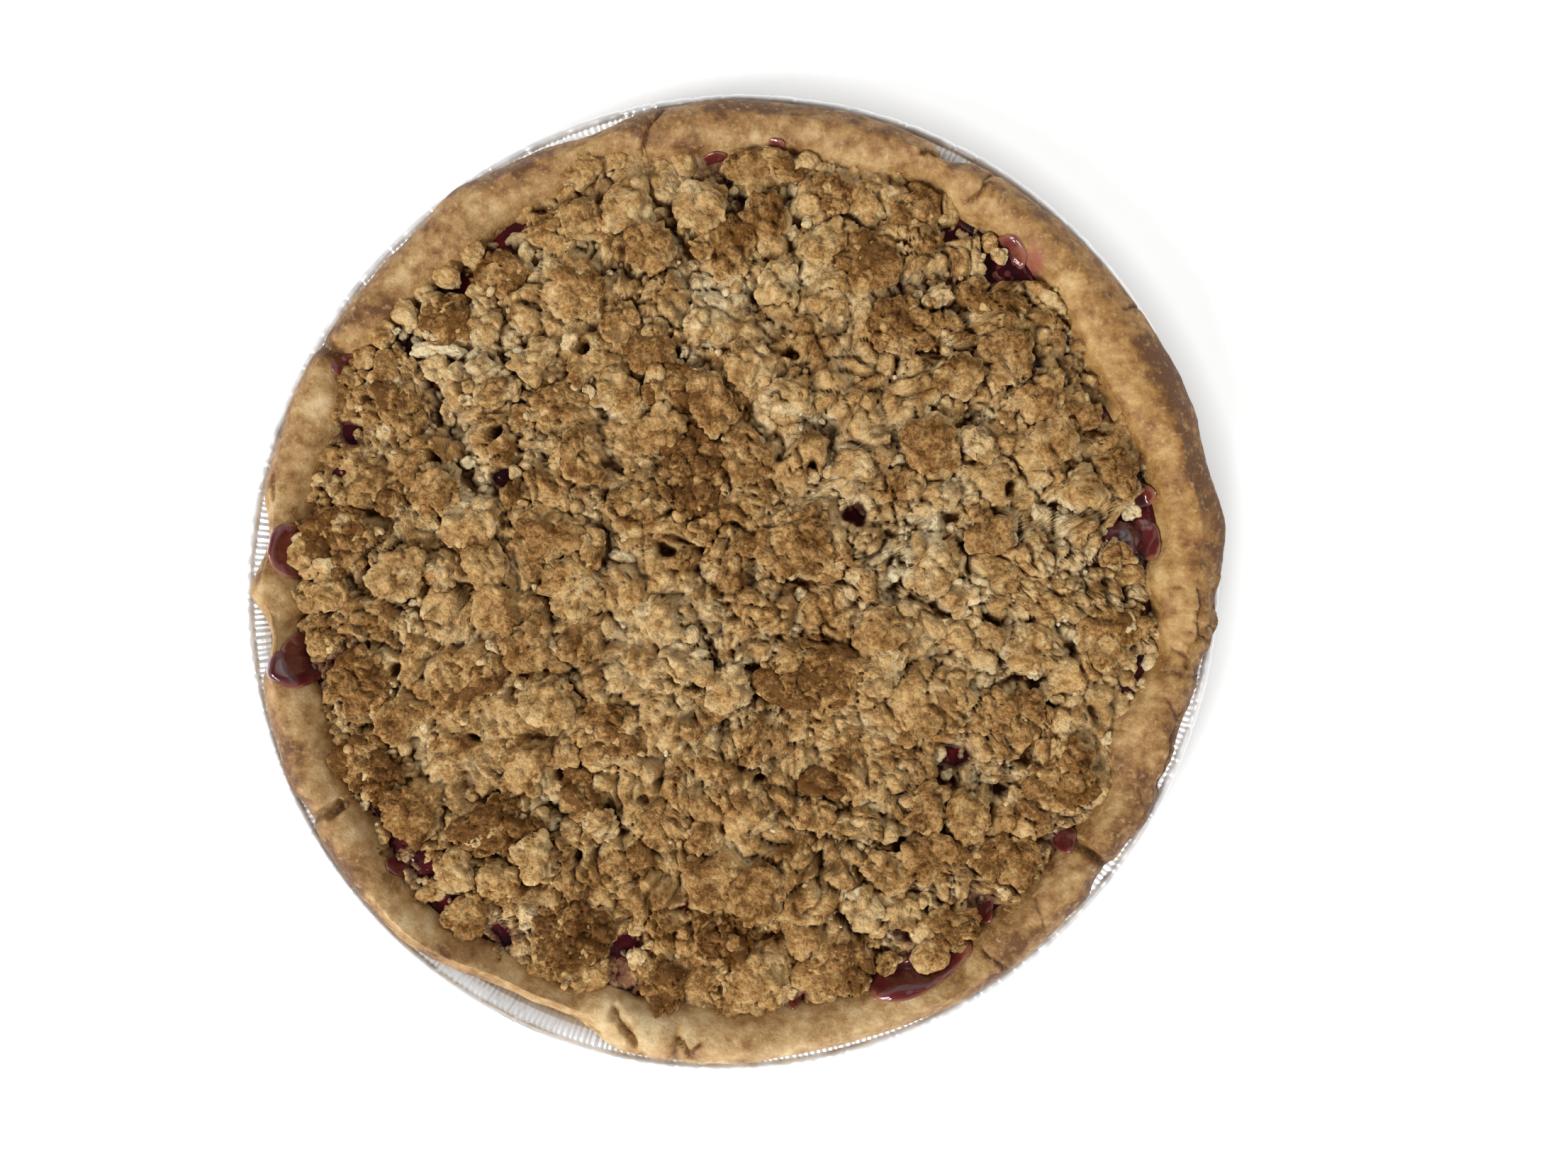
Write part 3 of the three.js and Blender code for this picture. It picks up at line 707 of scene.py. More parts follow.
# A drop's profile is a dome of about its thickness with a steep edge that sinks a little into the rim. The
# colour is deepest from that rise on.
DOME_HEIGHT = 1.15
DOME_POWERS = (2.4, 0.7)
EDGE_SINK = 0.65
SINK_POWER = 9
DEEPEST_RISE = 1.3
# Unevenness of a drop's outline, as [share of its size, size, salt]
RAGGED_DROP = [(0.2, 1.1, 71), (0.07, 0.5, 72)]
MAP_STEP = 0.5
MAP_HALF = 112
map_count = int(2 * MAP_HALF / MAP_STEP) + 1


def map_places(points):
    """The square of a height map, MAP_STEP millimetres wide, that each point lies in"""
    places = np.rint((points[:, :2] + MAP_HALF) / MAP_STEP).astype(int)
    return np.clip(places, 0, map_count - 1)


def add_to_map(heights, points):
    places = map_places(points)
    np.maximum.at(heights, (places[:, 0], places[:, 1]), points[:, 2])


def blurred(heights, reach):
    """The map averaged over squares, reach steps to each side, twice"""
    width = 2 * reach + 1
    for _ in range(4):
        sums = np.cumsum(np.pad(heights, [(reach + 1, reach), (0, 0)], "edge"), 0)
        heights = ((sums[width:] - sums[:-width]) / width).T
    return heights


rim_map = np.full((map_count, map_count), FILLING_Z - 1.0)
for laid_points in (pastry_points, filling_skin[0]):
    add_to_map(rim_map, laid_points)
for axis in (0, 1):
    rim_map = np.maximum(rim_map, np.maximum(np.roll(rim_map, 1, axis), np.roll(rim_map, -1, axis)))
rim_map = blurred(rim_map, 1)


def map_height(heights, x, y):
    """Heights read from a map, blended between its squares"""
    across, along = (np.clip((value + MAP_HALF) / MAP_STEP, 0, map_count - 1.001) for value in (x, y))
    i, j = across.astype(int), along.astype(int)
    across, along = across - i, along - j
    near = heights[i, j] * (1 - along) + heights[i, j + 1] * along
    return near * (1 - across) + (heights[i + 1, j] * (1 - along) + heights[i + 1, j + 1] * along) * across


def under_drop(x, y):
    """Height of the rim's inner slope or the filling, whichever is higher, at each place"""
    degrees, radius = polar(np.stack([x, y], axis=-1))
    slope = inner_slope(degrees)
    height = np.full(x.shape, FILLING_Z - 0.3)
    for (low_radius, low_z), (high_radius, high_z) in zip(slope[:-1], slope[1:]):
        share = (radius - low_radius) / (high_radius - low_radius)
        rim_z = low_z + np.clip(share, 0, 1) * (high_z - low_z)
        height = np.where(share > 0, np.maximum(height, rim_z), height)
    return height


def syrup_finish():
    """Thick clear cherry syrup over pale pastry"""
    finish, tree, shader = new_finish("cherry_syrup")
    clouds = spread(tree, noise(tree, 240, 2), 0.3, 0.7, -0.2, 0.2)
    deepening = [(0.0, (138, 88, 66)), (0.2, (106, 46, 42)), (0.6, (92, 32, 32)), (1.0, (74, 26, 26))]
    plug(shader, {
        "Base Color": color_steps(tree, added(tree, painted(tree, "thick"), clouds), deepening),
        "Normal": bump(tree, noise(tree, 310, 0), 0.85, 0.0012),
        "Roughness": 0.04,
        "IOR": 1.45,
        "Coat Weight": 0.5,
        "Coat Roughness": 0.03,
    })
    return finish


def level(points, degrees, radius):
    return 0 * radius


drop_points, drop_faces, drop_thick = [], [], []
for number, (x, y, half_width, half_depth, turn, thickness) in enumerate(SYRUP_DROPS):
    unit, faces = ring_points(DROP_RINGS, np.ones_like, level)
    share = polar(unit)[1]
    spots = np.stack([unit[:, 0], unit[:, 1], 0 * share + 3 * number], axis=-1)
    ragged = 1 + swells(spots, RAGGED_DROP) * share
    across, along = unit[:, 0] * half_width * ragged, unit[:, 1] * half_depth * ragged
    cos, sin = heading(turn)
    drop_x, drop_y = x + across * cos - along * sin, y + across * sin + along * cos
    dome = np.maximum(0, 1 - share ** DOME_POWERS[0]) ** DOME_POWERS[1]
    rise = DOME_HEIGHT * thickness * dome - EDGE_SINK * share**SINK_POWER
    base = sum(len(part) for part in drop_points)
    drop_points.append(np.stack([drop_x, drop_y, map_height(rim_map, drop_x, drop_y) + rise], axis=-1))
    drop_faces += [[base + corner for corner in face] for face in faces]
    drop_thick.append(rise / DEEPEST_RISE)
syrup = lay_mesh("syrup_drops", np.concatenate(drop_points), drop_faces, syrup_finish())
paint(syrup, "thick", np.clip(np.concatenate(drop_thick), 0, 1))
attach(syrup, "root")

# ---- Crumble bed ---------------------------------------------------------------------------------------
# Flour, butter and sugar rubbed into rough lumps and strewn thick over the filling. In the oven the lumps set
# side by side with deep cracks between them, toasted on top and floury pale in the hollows.
HOLLOW_EDGE_Z = 32.8
HOLLOW_MIDDLE_Z = 36
BED_RINGS = 178
# Where the heap draws back from the rim, as [angle, half width, how far, how far it stays open]
BAYS = [
    (50, 6, 8, 10), (7, 6, 8, 12), (-64, 9, 7, 6), (-170, 6, 4, 4), (176, 4, 3, 3), (-38, 4, 5, 4),
    (-52, 3, 4, 3), (-81, 3, 4, 2.5), (-140, 4, 4, 2.2), (150, 4, 4, 1.8), (93, 4, 4, 2.6),
    (-105, 5, 4, 2.2),
]
# Clumps that stand out, as [x, y, width, depth, turn in degrees, how toasted]
CLUMPS = [
    (18, -22, 27, 17, 0, 1.0), (15, 9, 25, 16, -10, 0.6), (-53, -54, 23, 14, 5, 0.95),
    (-74, 42, 13, 24, 15, 0.55), (73, -4, 22, 12, -15, 0.4), (-61, -21, 21, 12, 5, 0.65),
    (-29, -34, 20, 16, 0, 0.65), (46, -28, 20, 18, 10, 0.35), (24, -88, 20, 13, 0, 0.55),
    (-81, -40, 19, 16, -35, 0.65), (-35, -80, 19, 17, 0, 0.9), (64, -31, 18, 14, 0, 0.5),
    (74, -44, 18, 18, 30, 0.6), (38, 57, 19, 14, 0, 0.55), (6, 94, 18, 11, 0, 0.6),
    (-57, 46, 18, 15, 0, 0.05), (-89, 10, 15, 18, 0, 0.85), (-9, 25, 14, 20, 0, 1.0),
    (61, 60, 17, 12, -30, 0.7), (69, -16, 17, 11, -15, 0.25), (-84, -22, 16, 14, -40, 0.55),
    (0, -80, 16, 16, 0, 0.9), (-42, 12, 16, 13, 10, 0.4), (85, -13, 15, 13, 0, 0.6),
    (0, 73, 12, 16, 0, 0.65), (-41, 40, 15, 11, 0, 0.4), (30, 73, 15, 14, 0, 0.7),
    (50, -79, 16, 11, 10, 0.6), (-35, 82, 14, 11, 20, 0.35), (-66, 60, 14, 13, 0, 0.95),
    (-14, 45, 13, 15, 0, 0.8), (-53, 71, 14, 11, 0, 0.75), (63, -63, 15, 13, 0, 0.55),
    (22, -44, 13, 11, 0, 0.85), (20, 87, 13, 11, 0, 0.65), (41, 83, 13, 12, 0, 0.5),
    (-33, -46, 9, 12, 0, 0.95), (54, -12, 14, 11, -30, 0.2), (-59, -75, 13, 11, 20, 0.5),
    (-14, -91, 11, 13, 0, 0.7),
]
CLUMP_HEIGHT_SHARE = 0.3
CLUMP_HEIGHT_EXTRA = 0.8
CLUMP_LIFT = 1.2
FILLER_WIDTHS = (14, 13, 12, 11, 10, 9, 8)
FILLER_TRIES = 400
FILLER_SPACING = 0.74
FILLER_HEIGHT_SHARE = 0.34
LUMP_SIDES = 6
# Lumps of the bed fall off to their edges by this share and power, lean, and leave seams that wide in mm
LUMP_FALL = 0.55
FALL_POWER = 5
LUMP_LEAN = 0.24
SEAM_WIDTH = 1.7
# Raggedness of broken outlines, as [drift, its reach]
DRIFTS = [(1.9, 8), (1.1, 3.6), (0.5, 1.6)]
# How crumble breaks, coarse to fine, as [size, raggedness, step, lean, dome, crack width, crack depth]
BREAKS = [
    (5.4, 0.9, 1.8, 2.1, 0.25, 0.1, 1.4), (2.9, 0.6, 1.1, 1.3, 0.34, 0.13, 0.6),
    (1.5, 0.3, 0.6, 0.5, 0.24, 1, 0),
]
# Places of long broken pieces as [x, y, reach, their direction, how much longer]
STRANDS = [(32, -42, 22, -32, 0.55), (-62, -8, 16, 75, 0.4), (-58, 42, 14, 60, 0.3), (60, 30, 14, -50, 0.3)]
TOP_LIMIT = 42
TOP_GIVE = 1.6
BED_TOAST = 0.42
SEED = 20731
# Holes down towards the filling, as [x, y, radius]
HOLES = [
    (-26, -82, 4.2), (-51, -80, 2.6), (-89, 35, 2.8), (-74, 56, 3), (-52, 24, 2.8), (28, 16, 2.6),
    (51, -41, 3),
]
HOLE_BOTTOM = 2.2
# Deep gaps between lumps, as [x, y, radius]
GAPS = [
    (-53.8, 35.1, 1.7), (-59.8, -46, 2.2), (77.5, -16.1, 2.2), (83.3, -31.2, 2.4), (73, -28, 2),
    (35.7, 10.7, 1.8), (49.1, 13.8, 2), (-52.4, 77.9, 1.8), (-68.8, 28.6, 1.8), (19.2, 25.7, 1.6),
    (-33, -60.9, 1.7), (-58.3, -35.5, 1.8), (-34, 52, 1.5), (8, -45, 1.5), (-15, 6, 1.5), (62, 20, 1.6),
    (12, 52, 1.6), (-78, -20, 1.6), (38, -58, 1.8),
]


def mound_edge(degrees):
    drawn_back = [(at, 1.25 * half, -open_for) for at, half, _, open_for in BAYS]
    return changed(degrees, rim_inner(degrees) + 2.5, drawn_back)


def hollow_z(x, y):
    share = np.minimum(np.hypot(x, y) / RIM_INNER_RADIUS, 1)
    return HOLLOW_EDGE_Z + (HOLLOW_MIDDLE_Z - HOLLOW_EDGE_Z) * (1 - share * share)


def seeded_fillers():
    """Lumps between the clumps as [x, y, width, depth, turn], by the same draws as the solid's"""
    state = [SEED]

    def draw():
        state[0] = (state[0] * 16807) % 2147483647
        return state[0] / 2147483647

    fillers = []
    for width in FILLER_WIDTHS:
        for _ in range(FILLER_TRIES):
            radius, degrees = RIM_INNER_RADIUS * math.sqrt(draw()), 360 * draw()
            depth, turn = width * (0.7 + 0.3 * draw()), 180 * draw()
            cos, sin = heading(degrees)
            x, y = radius * cos, radius * sin
            full_edge = rim_inner(degrees) - 1.2 + wave(degrees, 23, 0, 0.5)
            solid_edge = changed(degrees, full_edge, [(at, half, -back) for at, half, back, _ in BAYS])
            reach = (width + depth) / 4
            roomy = all(
                math.hypot(near_x - x, near_y - y) > FILLER_SPACING * ((near_width + near_depth) / 4 + reach)
                for near_x, near_y, near_width, near_depth, *_ in CLUMPS + fillers
            )
            clear = all(math.hypot(hole_x - x, hole_y - y) > hole + reach for hole_x, hole_y, hole in HOLES)
            if radius + width / 3 < solid_edge and roomy and clear:
                fillers.append((x, y, width, depth, turn))
    return fillers


def sides_of(number):
    """Directions of a lump's broken sides, seen from above, and how far out each lies in half sizes"""
    draws = np.random.default_rng(2000 + number)
    turns = 2 * math.pi * (np.arange(LUMP_SIDES) + draws.uniform(-0.38, 0.38, LUMP_SIDES)) / LUMP_SIDES
    return np.stack([np.cos(turns), np.sin(turns)], axis=-1), draws.uniform(0.74, 1.08, LUMP_SIDES)


def lump_shares(points, lumps):
    """For each point: its place in the nearest lump (0 middle, 1 edge), how far on the seam is, which lump it
    is, and how that lump's top leans there"""
    nearest, second = np.full(len(points), 9.0), np.full(len(points), 9.0)
    which, lean = np.zeros(len(points), int), np.zeros(len(points))
    for number, (x, y, width, depth, turn, *_) in enumerate(lumps):
        by = np.flatnonzero(np.hypot(points[:, 0] - x, points[:, 1] - y) < 1.7 * width)
        cos, sin = heading(turn)
        dx, dy = points[by, 0] - x, points[by, 1] - y
        spots = np.stack([(dx * cos + dy * sin) / (width / 2), (dy * cos - dx * sin) / (depth / 2)], axis=-1)
        sides, reaches = sides_of(number)
        away = ((np.maximum(spots @ sides.T, 0) / reaches) ** 8).sum(-1) ** 0.125
        closer = away < nearest[by]
        second[by] = np.where(closer, nearest[by], np.minimum(second[by], away))
        which[by] = np.where(closer, number, which[by])
        lean[by] = np.where(closer, spots @ (math.cos(number), math.sin(number)), lean[by])
        nearest[by] = np.where(closer, away, nearest[by])
    return nearest, second - nearest, which, lean


def torn(points, salt):
    """Sideways drift, in millimetres, that makes the outlines of broken pieces ragged"""
    ways = [[(size, reach, salt + 3 * row + k) for row, (size, reach) in enumerate(DRIFTS)] for k in range(3)]
    return np.stack([swells(points, way) for way in ways], axis=-1)


def drawn_out(points, place):
    """Places where the crumble broke into long pieces: the same points with the way along them shortened"""
    for x, y, reach, turn, share in STRANDS:
        near = share * np.exp(-(((place[..., 0] - x) ** 2 + (place[..., 1] - y) ** 2) / reach**2))
        way = np.array([*heading(turn), 0])
        points = points - (near * ((points - (x, y, 0)) @ way))[..., None] * way
    return points


def broken(points, drift, salt, rubble, slabs):
    """Broken crumble: its relief in millimetres, how much of a crack each point lies in, and the tone of its
    piece. Rubble is the share of small pieces and slabs how far the larger ones are left out"""
    relief, tone, cracks = 0.0, 0.0, 0.0
    shares = ((1 - slabs, 1 - slabs, 1), (rubble, rubble, 0.6), (0.3 + 0.6 * rubble, 0.5, 0))
    for number, (size, ragged, step, lean_by, dome, gap, depth) in enumerate(BREAKS):
        share, tone_share, crack_share = shares[number]
        near, seam, own, lean = knobs(points + ragged * drift, size, salt + 10 * number)
        crack = np.exp(-((seam / gap) ** 2)) * share
        form = step * (own - 0.5) + lean_by * lean + dome * np.maximum(1 - 3 * near**2, -0.8)
        relief += share * form - depth * crack
        tone += tone_share * (own - 0.5)
        cracks = np.maximum(cracks, crack_share * crack)
    return relief, cracks, tone


fillers = seeded_fillers()
lumps = CLUMPS + fillers
lump_draws = np.random.default_rng(77).uniform(size=(len(lumps), 2))


def holes_share(flat, drift, reach, holes=HOLES):
    """1 over firm crumble and 0 in the middle of a hole"""
    share = np.ones(len(flat))
    for x, y, hole in holes:
        away = np.linalg.norm((flat + drift)[:, :2] - (x, y), axis=-1)
        share *= eased(away, hole * 0.55, hole * reach)
    return share


def bed_surface(flat):
    """Heights of the crumble's uneven top from its lumps down to its grains, with its cracks and tones"""
    degrees, radius = polar(flat)
    drift = torn(flat, 200) * (1, 1, 0)
    near, seam, which, lean = lump_shares(flat + drift, lumps)
    widths = np.array([(lump[2] + lump[3]) / 2 for lump in lumps])[which]
    tall = FILLER_HEIGHT_SHARE * widths * (0.5 + 0.6 * lump_draws[which, 0])
    tall *= np.where(which < len(CLUMPS), 0.7, 1)
    top = 1 - LUMP_FALL * np.minimum(near, 1.12) ** FALL_POWER + LUMP_LEAN * lean
    apart = eased(swell(flat, 9, 88), -0.5, 0.3)
    rise = tall * top * (1 - 0.68 * (0.3 + 0.7 * apart) * (1 - eased(seam * widths, 0, SEAM_WIDTH)))
    rise += 1.5 * (lump_draws[which, 1] - 0.5)
    rubble = 0.45 + 0.75 * eased(swell(flat, 20, 87), -0.35, 0.35)
    slabs = 0.55 * eased(swell(flat, 17, 89), -0.25, 0.4)
    relief, cracks, tone = broken(drawn_out(flat, flat), drift, 300, rubble, slabs)
    # The seams between lumps get painted shade too
    cracks = np.maximum(cracks, 0.8 * apart * (1 - eased(seam * widths, 0, 1.4)))
    height = hollow_z(flat[:, 0], flat[:, 1]) - 0.5 + rise + relief
    open_share = eased(mound_edge(degrees) - radius + 0.6 * drift[:, 0], 0, 1.5)
    gaps_share = holes_share(flat, 1.1 * drift, 1.4, GAPS)
    open_share = open_share * holes_share(flat, 1.1 * drift, 1.3) * (0.25 + 0.75 * gaps_share)
    low = under_drop(flat[:, 0], flat[:, 1]) - 0.7 + 0.4 * broken(flat, drift, 340, 1, 0)[0]
    return low + (height - low) * open_share, cracks, tone


def crumble_finish():
    """Baked crumble: sandy and dry, cream where floury, brown where toasted, with dark brown painted shade in
    its cracks and recesses
    """
    finish, tree, shader = new_finish("baked_crumble")
    grain = noise(tree, 1100, 2, 0.6)
    patches = spread(tree, noise(tree, 230, 4, 0.65), 0.3, 0.7, -0.2, 0.2)
    mottled = added(tree, patches, spread(tree, grain, 0.3, 0.7, -0.18, 0.18))
    color = color_steps(tree, added(tree, painted(tree, "toast"), mottled), [
        (0.0, (221, 206, 170)), (0.22, (211, 185, 139)), (0.5, (192, 157, 105)),
        (0.74, (160, 121, 74)), (0.9, (128, 93, 54)), (1.0, (102, 71, 40)),
    ])
    # Cracks and recesses are painted dark brown here, as shade
    color = blended(tree, painted(tree, "painted_crack_shade"), color, linear(92, 53, 3))
    pits = add_node(tree, "TexVoronoi", {"Vector": on_piece(tree), "Scale": 800}, feature="F1").outputs[0]
    plug(shader, {
        "Base Color": blended(tree, painted(tree, "soaked"), color, linear(84, 40, 42)),
        "Normal": bump(tree, pits, 0.4, 0.0008, Normal=bump(tree, grain, 0.8, 0.0008)),
        "Roughness": 0.85,
        "Specular IOR Level": 0.05,
    })
    return finish


baked_crumble = crumble_finish()
bed_points, bed_faces = ring_points(BED_RINGS, mound_edge, level)
bed_points[:, 2], bed_cracks, bed_tone = bed_surface(bed_points)
bed_shell, bed_all_faces = closed_below(bed_points, bed_faces, BED_RINGS, FILLING_Z - 2.4)

# Heights of the heap's top, filled as each layer of crumble is laid, so that the next layer can lie on it and
# its colours can follow how far each place stands out
top_map = np.full((map_count, map_count), float(FILLING_Z))
add_to_map(top_map, bed_points)

# ---- Big clumps of crumble -----------------------------------------------------------------------------
# The largest lumps, squeezed in the hand before they were strewn. They stand proud of the bed, cracked and
# knobbly with ragged outlines, and their tops toasted darkest.
TOP_CUTS = 3
# The higher the power, the sharper the edges; a corner stands out this many half sizes at most
EDGE_POWER = 7
FURTHEST = 1.2
BIG_LUMP = 29


def craggy_lump(unit, half_sizes, turn, place, salt, crag):
    """A broken lump of crumble: flat-topped with broken sides, uneven all over, with cracks and grains"""
    draws = np.random.default_rng(salt)
    sides, reaches = sides_of(salt)
    sides = np.concatenate([
        np.concatenate([sides, draws.uniform(-0.35, 0.35, (LUMP_SIDES, 1))], axis=-1),
        np.concatenate([draws.normal(0, 0.3, (TOP_CUTS, 2)), np.ones((TOP_CUTS, 1))], axis=-1), [[0, 0, -1]],
    ])
    sides /= np.linalg.norm(sides, axis=-1, keepdims=True)
    reaches = np.concatenate([reaches, draws.uniform(0.8, 0.98, TOP_CUTS), [1]])
    faced = ((np.maximum(unit @ sides.T, 0) / reaches) ** EDGE_POWER).sum(-1)
    points = unit * ((faced + FURTHEST**-EDGE_POWER) ** (-1 / EDGE_POWER))[:, None] * half_sizes
    out = unit * (0.8, 0.8, 1.25) / half_sizes
    cos, sin = heading(turn)
    turning = np.array([[cos, sin, 0], [-sin, cos, 0], [0, 0, 1]])
    points, out = points @ turning, out @ turning
    out = out / np.linalg.norm(out, axis=-1, keepdims=True)
    size = (half_sizes[0] + half_sizes[1]) / 2
    spots = points + (37.0 * (salt % 7), 29.0 * (salt % 11), 3.0 * salt)
    drift = torn(spots, 400)
    bend = np.stack([swell(spots, 0.9 * size, 101 + k) for k in range(3)], axis=-1)
    points = points + (0.13 * size * bend + 0.34 * crag * drift) * (1, 1, 0.5)
    relief, cracks, tone = broken(drawn_out(spots, np.array(place)), drift, 500, 0.9, 0.2 * (salt % 3))
    points = points + out * np.clip(crag * relief, -0.35 * size, 0.25 * size)[:, None] + place
    return points, out, cracks * min(crag, 1), tone


def lay_lumps(lumps_in, ball_points, ball_faces):
    """Points, faces, toasting, cracks and tones of the lumps in a list, each of those as
    [place, half sizes, turn, toasted, salt, crag]"""
    all_points, all_faces, all_toast, all_cracks, all_tones = [], [], [], [], []
    for number, (place, halves, turn, toasted, salt, crag) in enumerate(lumps_in):
        points, out, cracks, tone = craggy_lump(ball_points, halves, turn, place, salt, crag)
        all_points.append(points)
        all_faces.append(np.array(ball_faces) + number * len(ball_points))
        all_toast.append(0.22 + (toasted - 0.22) * (0.3 + 0.7 * eased(out[:, 2], 0.1, 0.95)))
        all_cracks.append(cracks)
        all_tones.append(tone)
    shares = [np.concatenate(each) for each in (all_toast, all_cracks, all_tones)]
    return np.concatenate(all_points), np.concatenate(all_faces).tolist(), *shares


fine_ball, plain_ball = ball(5), ball(4)
big, middling = [], []
for number, (x, y, width, depth, turn, toasted) in enumerate(CLUMPS):
    height = CLUMP_HEIGHT_SHARE * min(width, depth) + CLUMP_HEIGHT_EXTRA
    rim_z = float(under_drop(np.array([x]), np.array([y]))[0])
    place = (x, y, max(float(hollow_z(x, y)) + 0.25 * CLUMP_LIFT, rim_z + 0.5))
    halves = np.array([width / 2, depth / 2, 0.84 * height])
    row = (place, halves, turn, 0.24 + 0.68 * toasted, 3 + number, 0.45 if number == 0 else 1.0)
    (big if width + depth > BIG_LUMP else middling).append(row)
big_points, big_faces, *big_shares = lay_lumps(big, *fine_ball)
add_to_map(top_map, big_points)

# ---- Smaller lumps of crumble --------------------------------------------------------------------------
# Lumps from the size of a pea to a hazelnut, as they fell between and on the big ones and up the rim. A few
# missed the syrup and the heat, and stayed floury and pale.
LOOSE_FILLER_SHARE = 0.4
# Odd pieces as [x, y, width, depth, turn, how toasted, height over what they lie on]
ODD_PIECES = [
    (-98.4, 8.4, 9, 10, 0, 0.4, 1.2), (-80.2, 57.0, 8, 6, 120, 0.45, 0.4),
    (-75.6, 62.2, 9, 6.5, 128, 0.4, 0.5), (-70.6, 66.4, 8, 6, 133, 0.45, 0.4),
    (-66.2, 71.2, 9, 6, 136, 0.5, 0.4), (-60.4, 75.6, 9, 6.5, 140, 0.4, 0.3),
    (-35.4, 94.0, 10, 6.5, 20, 0.4, 1.0), (-28.0, 96.6, 8, 6, 10, 0.45, 1.0),
    (-84.6, 52.0, 7, 6, 60, 0.45, 0.8), (-88.8, 41.6, 9, 7, 70, 0.5, 0.8),
    (90.6, 15.4, 4.8, 5.2, 30, 0.1, 1.6), (60.2, 74.2, 4.8, 4.6, 10, 0.1, 1.6),
    (57.8, 76.8, 4.2, 4, 40, 0.25, 1.2), (54.6, 73.2, 5, 4.4, 0, 0.2, 1.4),
    (55.8, 67.4, 4, 4, 60, 0.12, 1.2), (70.8, 63.6, 14.5, 5.2, -40, 0.35, 1.6),
    (-66.5, 53.2, 14, 4.6, -4, 0.02, 3.2), (-21, -84.6, 6, 5, 20, 0.02, 2.6),
    (-17.6, -82, 3.4, 2.6, 0, 0.0, 2.8), (-86.5, 46.6, 5, 4.4, 0, 0.5, 2.2),
    (89.6, 0.6, 7, 5.6, 0, 0.35, 2.0), (89.4, 18.8, 3, 2.6, 60, 0.1, 1.2),
    (91.2, -10.8, 9, 7.5, 10, 0.55, 2.0), (47.0, -84.6, 11, 7.5, 30, 0.4, 2.6),
    (36.4, -86.4, 7, 5, 20, 0.5, 2.4), (-93.6, -12.8, 7, 6, 0, 0.45, 1.8),
    (-60.5, 27.8, 5.4, 4.2, -10, 0.05, 2.6), (-49.6, 25.6, 3.6, 2.8, -60, 0.0, 2.4),
]
small_draws = np.random.default_rng(910)
small = list(middling)
for number, (x, y, width, depth, turn, toasted, lift) in enumerate(ODD_PIECES):
    rim_z = float(under_drop(np.array([x]), np.array([y]))[0])
    halves = np.array([width / 2, depth / 2, min(width, depth) * 0.42])
    small.append(((x, y, max(rim_z, FILLING_Z) + lift), halves, turn, toasted, 300 + number, 0.4))
for number, (x, y, width, depth, turn) in enumerate(fillers):
    clear = all(math.hypot(gap_x - x, gap_y - y) > gap + 0.3 * width for gap_x, gap_y, gap in GAPS)
    if small_draws.uniform() < LOOSE_FILLER_SHARE and clear:
        halves = np.array([0.5 * width, 0.5 * depth, 0.3 * width])
        z = float(hollow_z(x, y)) + 0.15 * width + small_draws.uniform(-0.6, 0.6)
        small.append(((x, y, z), halves, turn, small_draws.uniform(0.2, 0.62), 60 + number, 0.85))
small_points, small_faces, *small_shares = lay_lumps(small, *plain_ball)
add_to_map(top_map, small_points)

# ---- Loose crumbs --------------------------------------------------------------------------------------
# Bits and crumbs of the same rubbed dough, which broke off the lumps as they were strewn and rolled into the
# hollows and cracks. Nothing holds them but the lumps around them.
BIT_COUNT = 400
BIT_SIZES = (1.3, 2.7)
CRUMB_COUNT = 600
CRUMB_SIZES = (0.6, 1.3)
# Crumbs lie within this radius, and never where the top stands this far above its surroundings
CRUMB_REACH = 99
LOWEST = -0.8
crumb_draws = np.random.default_rng(1203)
soft_map = blurred(top_map, 8)


def low_places(count):
    """Places for crumbs as (x, y, z), more of them the lower the heap's top lies there"""
    places = []
    while len(places) < count:
        radius, degrees = CRUMB_REACH * math.sqrt(crumb_draws.uniform()), crumb_draws.uniform(-180, 180)
        cos, sin = heading(degrees)
        x, y = radius * cos, radius * sin
        spot = map_places(np.array([[x, y, 0]]))[0]
        low_spot = soft_map[spot[0], spot[1]] - top_map[spot[0], spot[1]]
        if radius < float(mound_edge(degrees)) - 1.5 and low_spot > crumb_draws.uniform(LOWEST, 1.0):
            places.append((x, y, float(top_map[spot[0], spot[1]])))
    return places


def crumb_rows(count, sizes, salt, crag):
    rows = []
    for number, (x, y, z) in enumerate(low_places(count)):
        size = sizes[0] + (sizes[1] - sizes[0]) * crumb_draws.uniform() ** 2
        halves = size * crumb_draws.uniform(0.6, 1.3, 3)
        turn, toasted = crumb_draws.uniform(0, 360), crumb_draws.uniform(0.05, 0.55)
        rows.append(((x, y, z + 0.2 * size), halves, turn, toasted, salt + number, crag))
    return rows


bit_points, bit_faces, *bit_shares = lay_lumps(crumb_rows(BIT_COUNT, BIT_SIZES, 1000, 0.5), *ball(3))
tiny_crumbs = crumb_rows(CRUMB_COUNT, CRUMB_SIZES, 1500, 0.1)
tiny_points, tiny_faces, *tiny_shares = lay_lumps(tiny_crumbs, *ball(2))
crumb_points = np.concatenate([bit_points, tiny_points])
crumb_faces = bit_faces + (np.array(tiny_faces) + len(bit_points)).tolist()
crumb_shares = [np.concatenate(pair) for pair in zip(bit_shares, tiny_shares)]

# ---- Toasting the crumble ------------------------------------------------------------------------------
# Every layer shares one finish. What stands out above its surroundings toasted, what lies low stayed pale or
# soaked up syrup, and a few regions of the top caught more heat than others. Its cracks, and the spots that
# lie below their near surroundings, are painted dark brown as shade.
add_to_map(top_map, crumb_points)
close_map, near_map, wide_map = blurred(top_map, 1), blurred(top_map, 4), blurred(top_map, 14)
BAY_INNER_RADIUS = 82
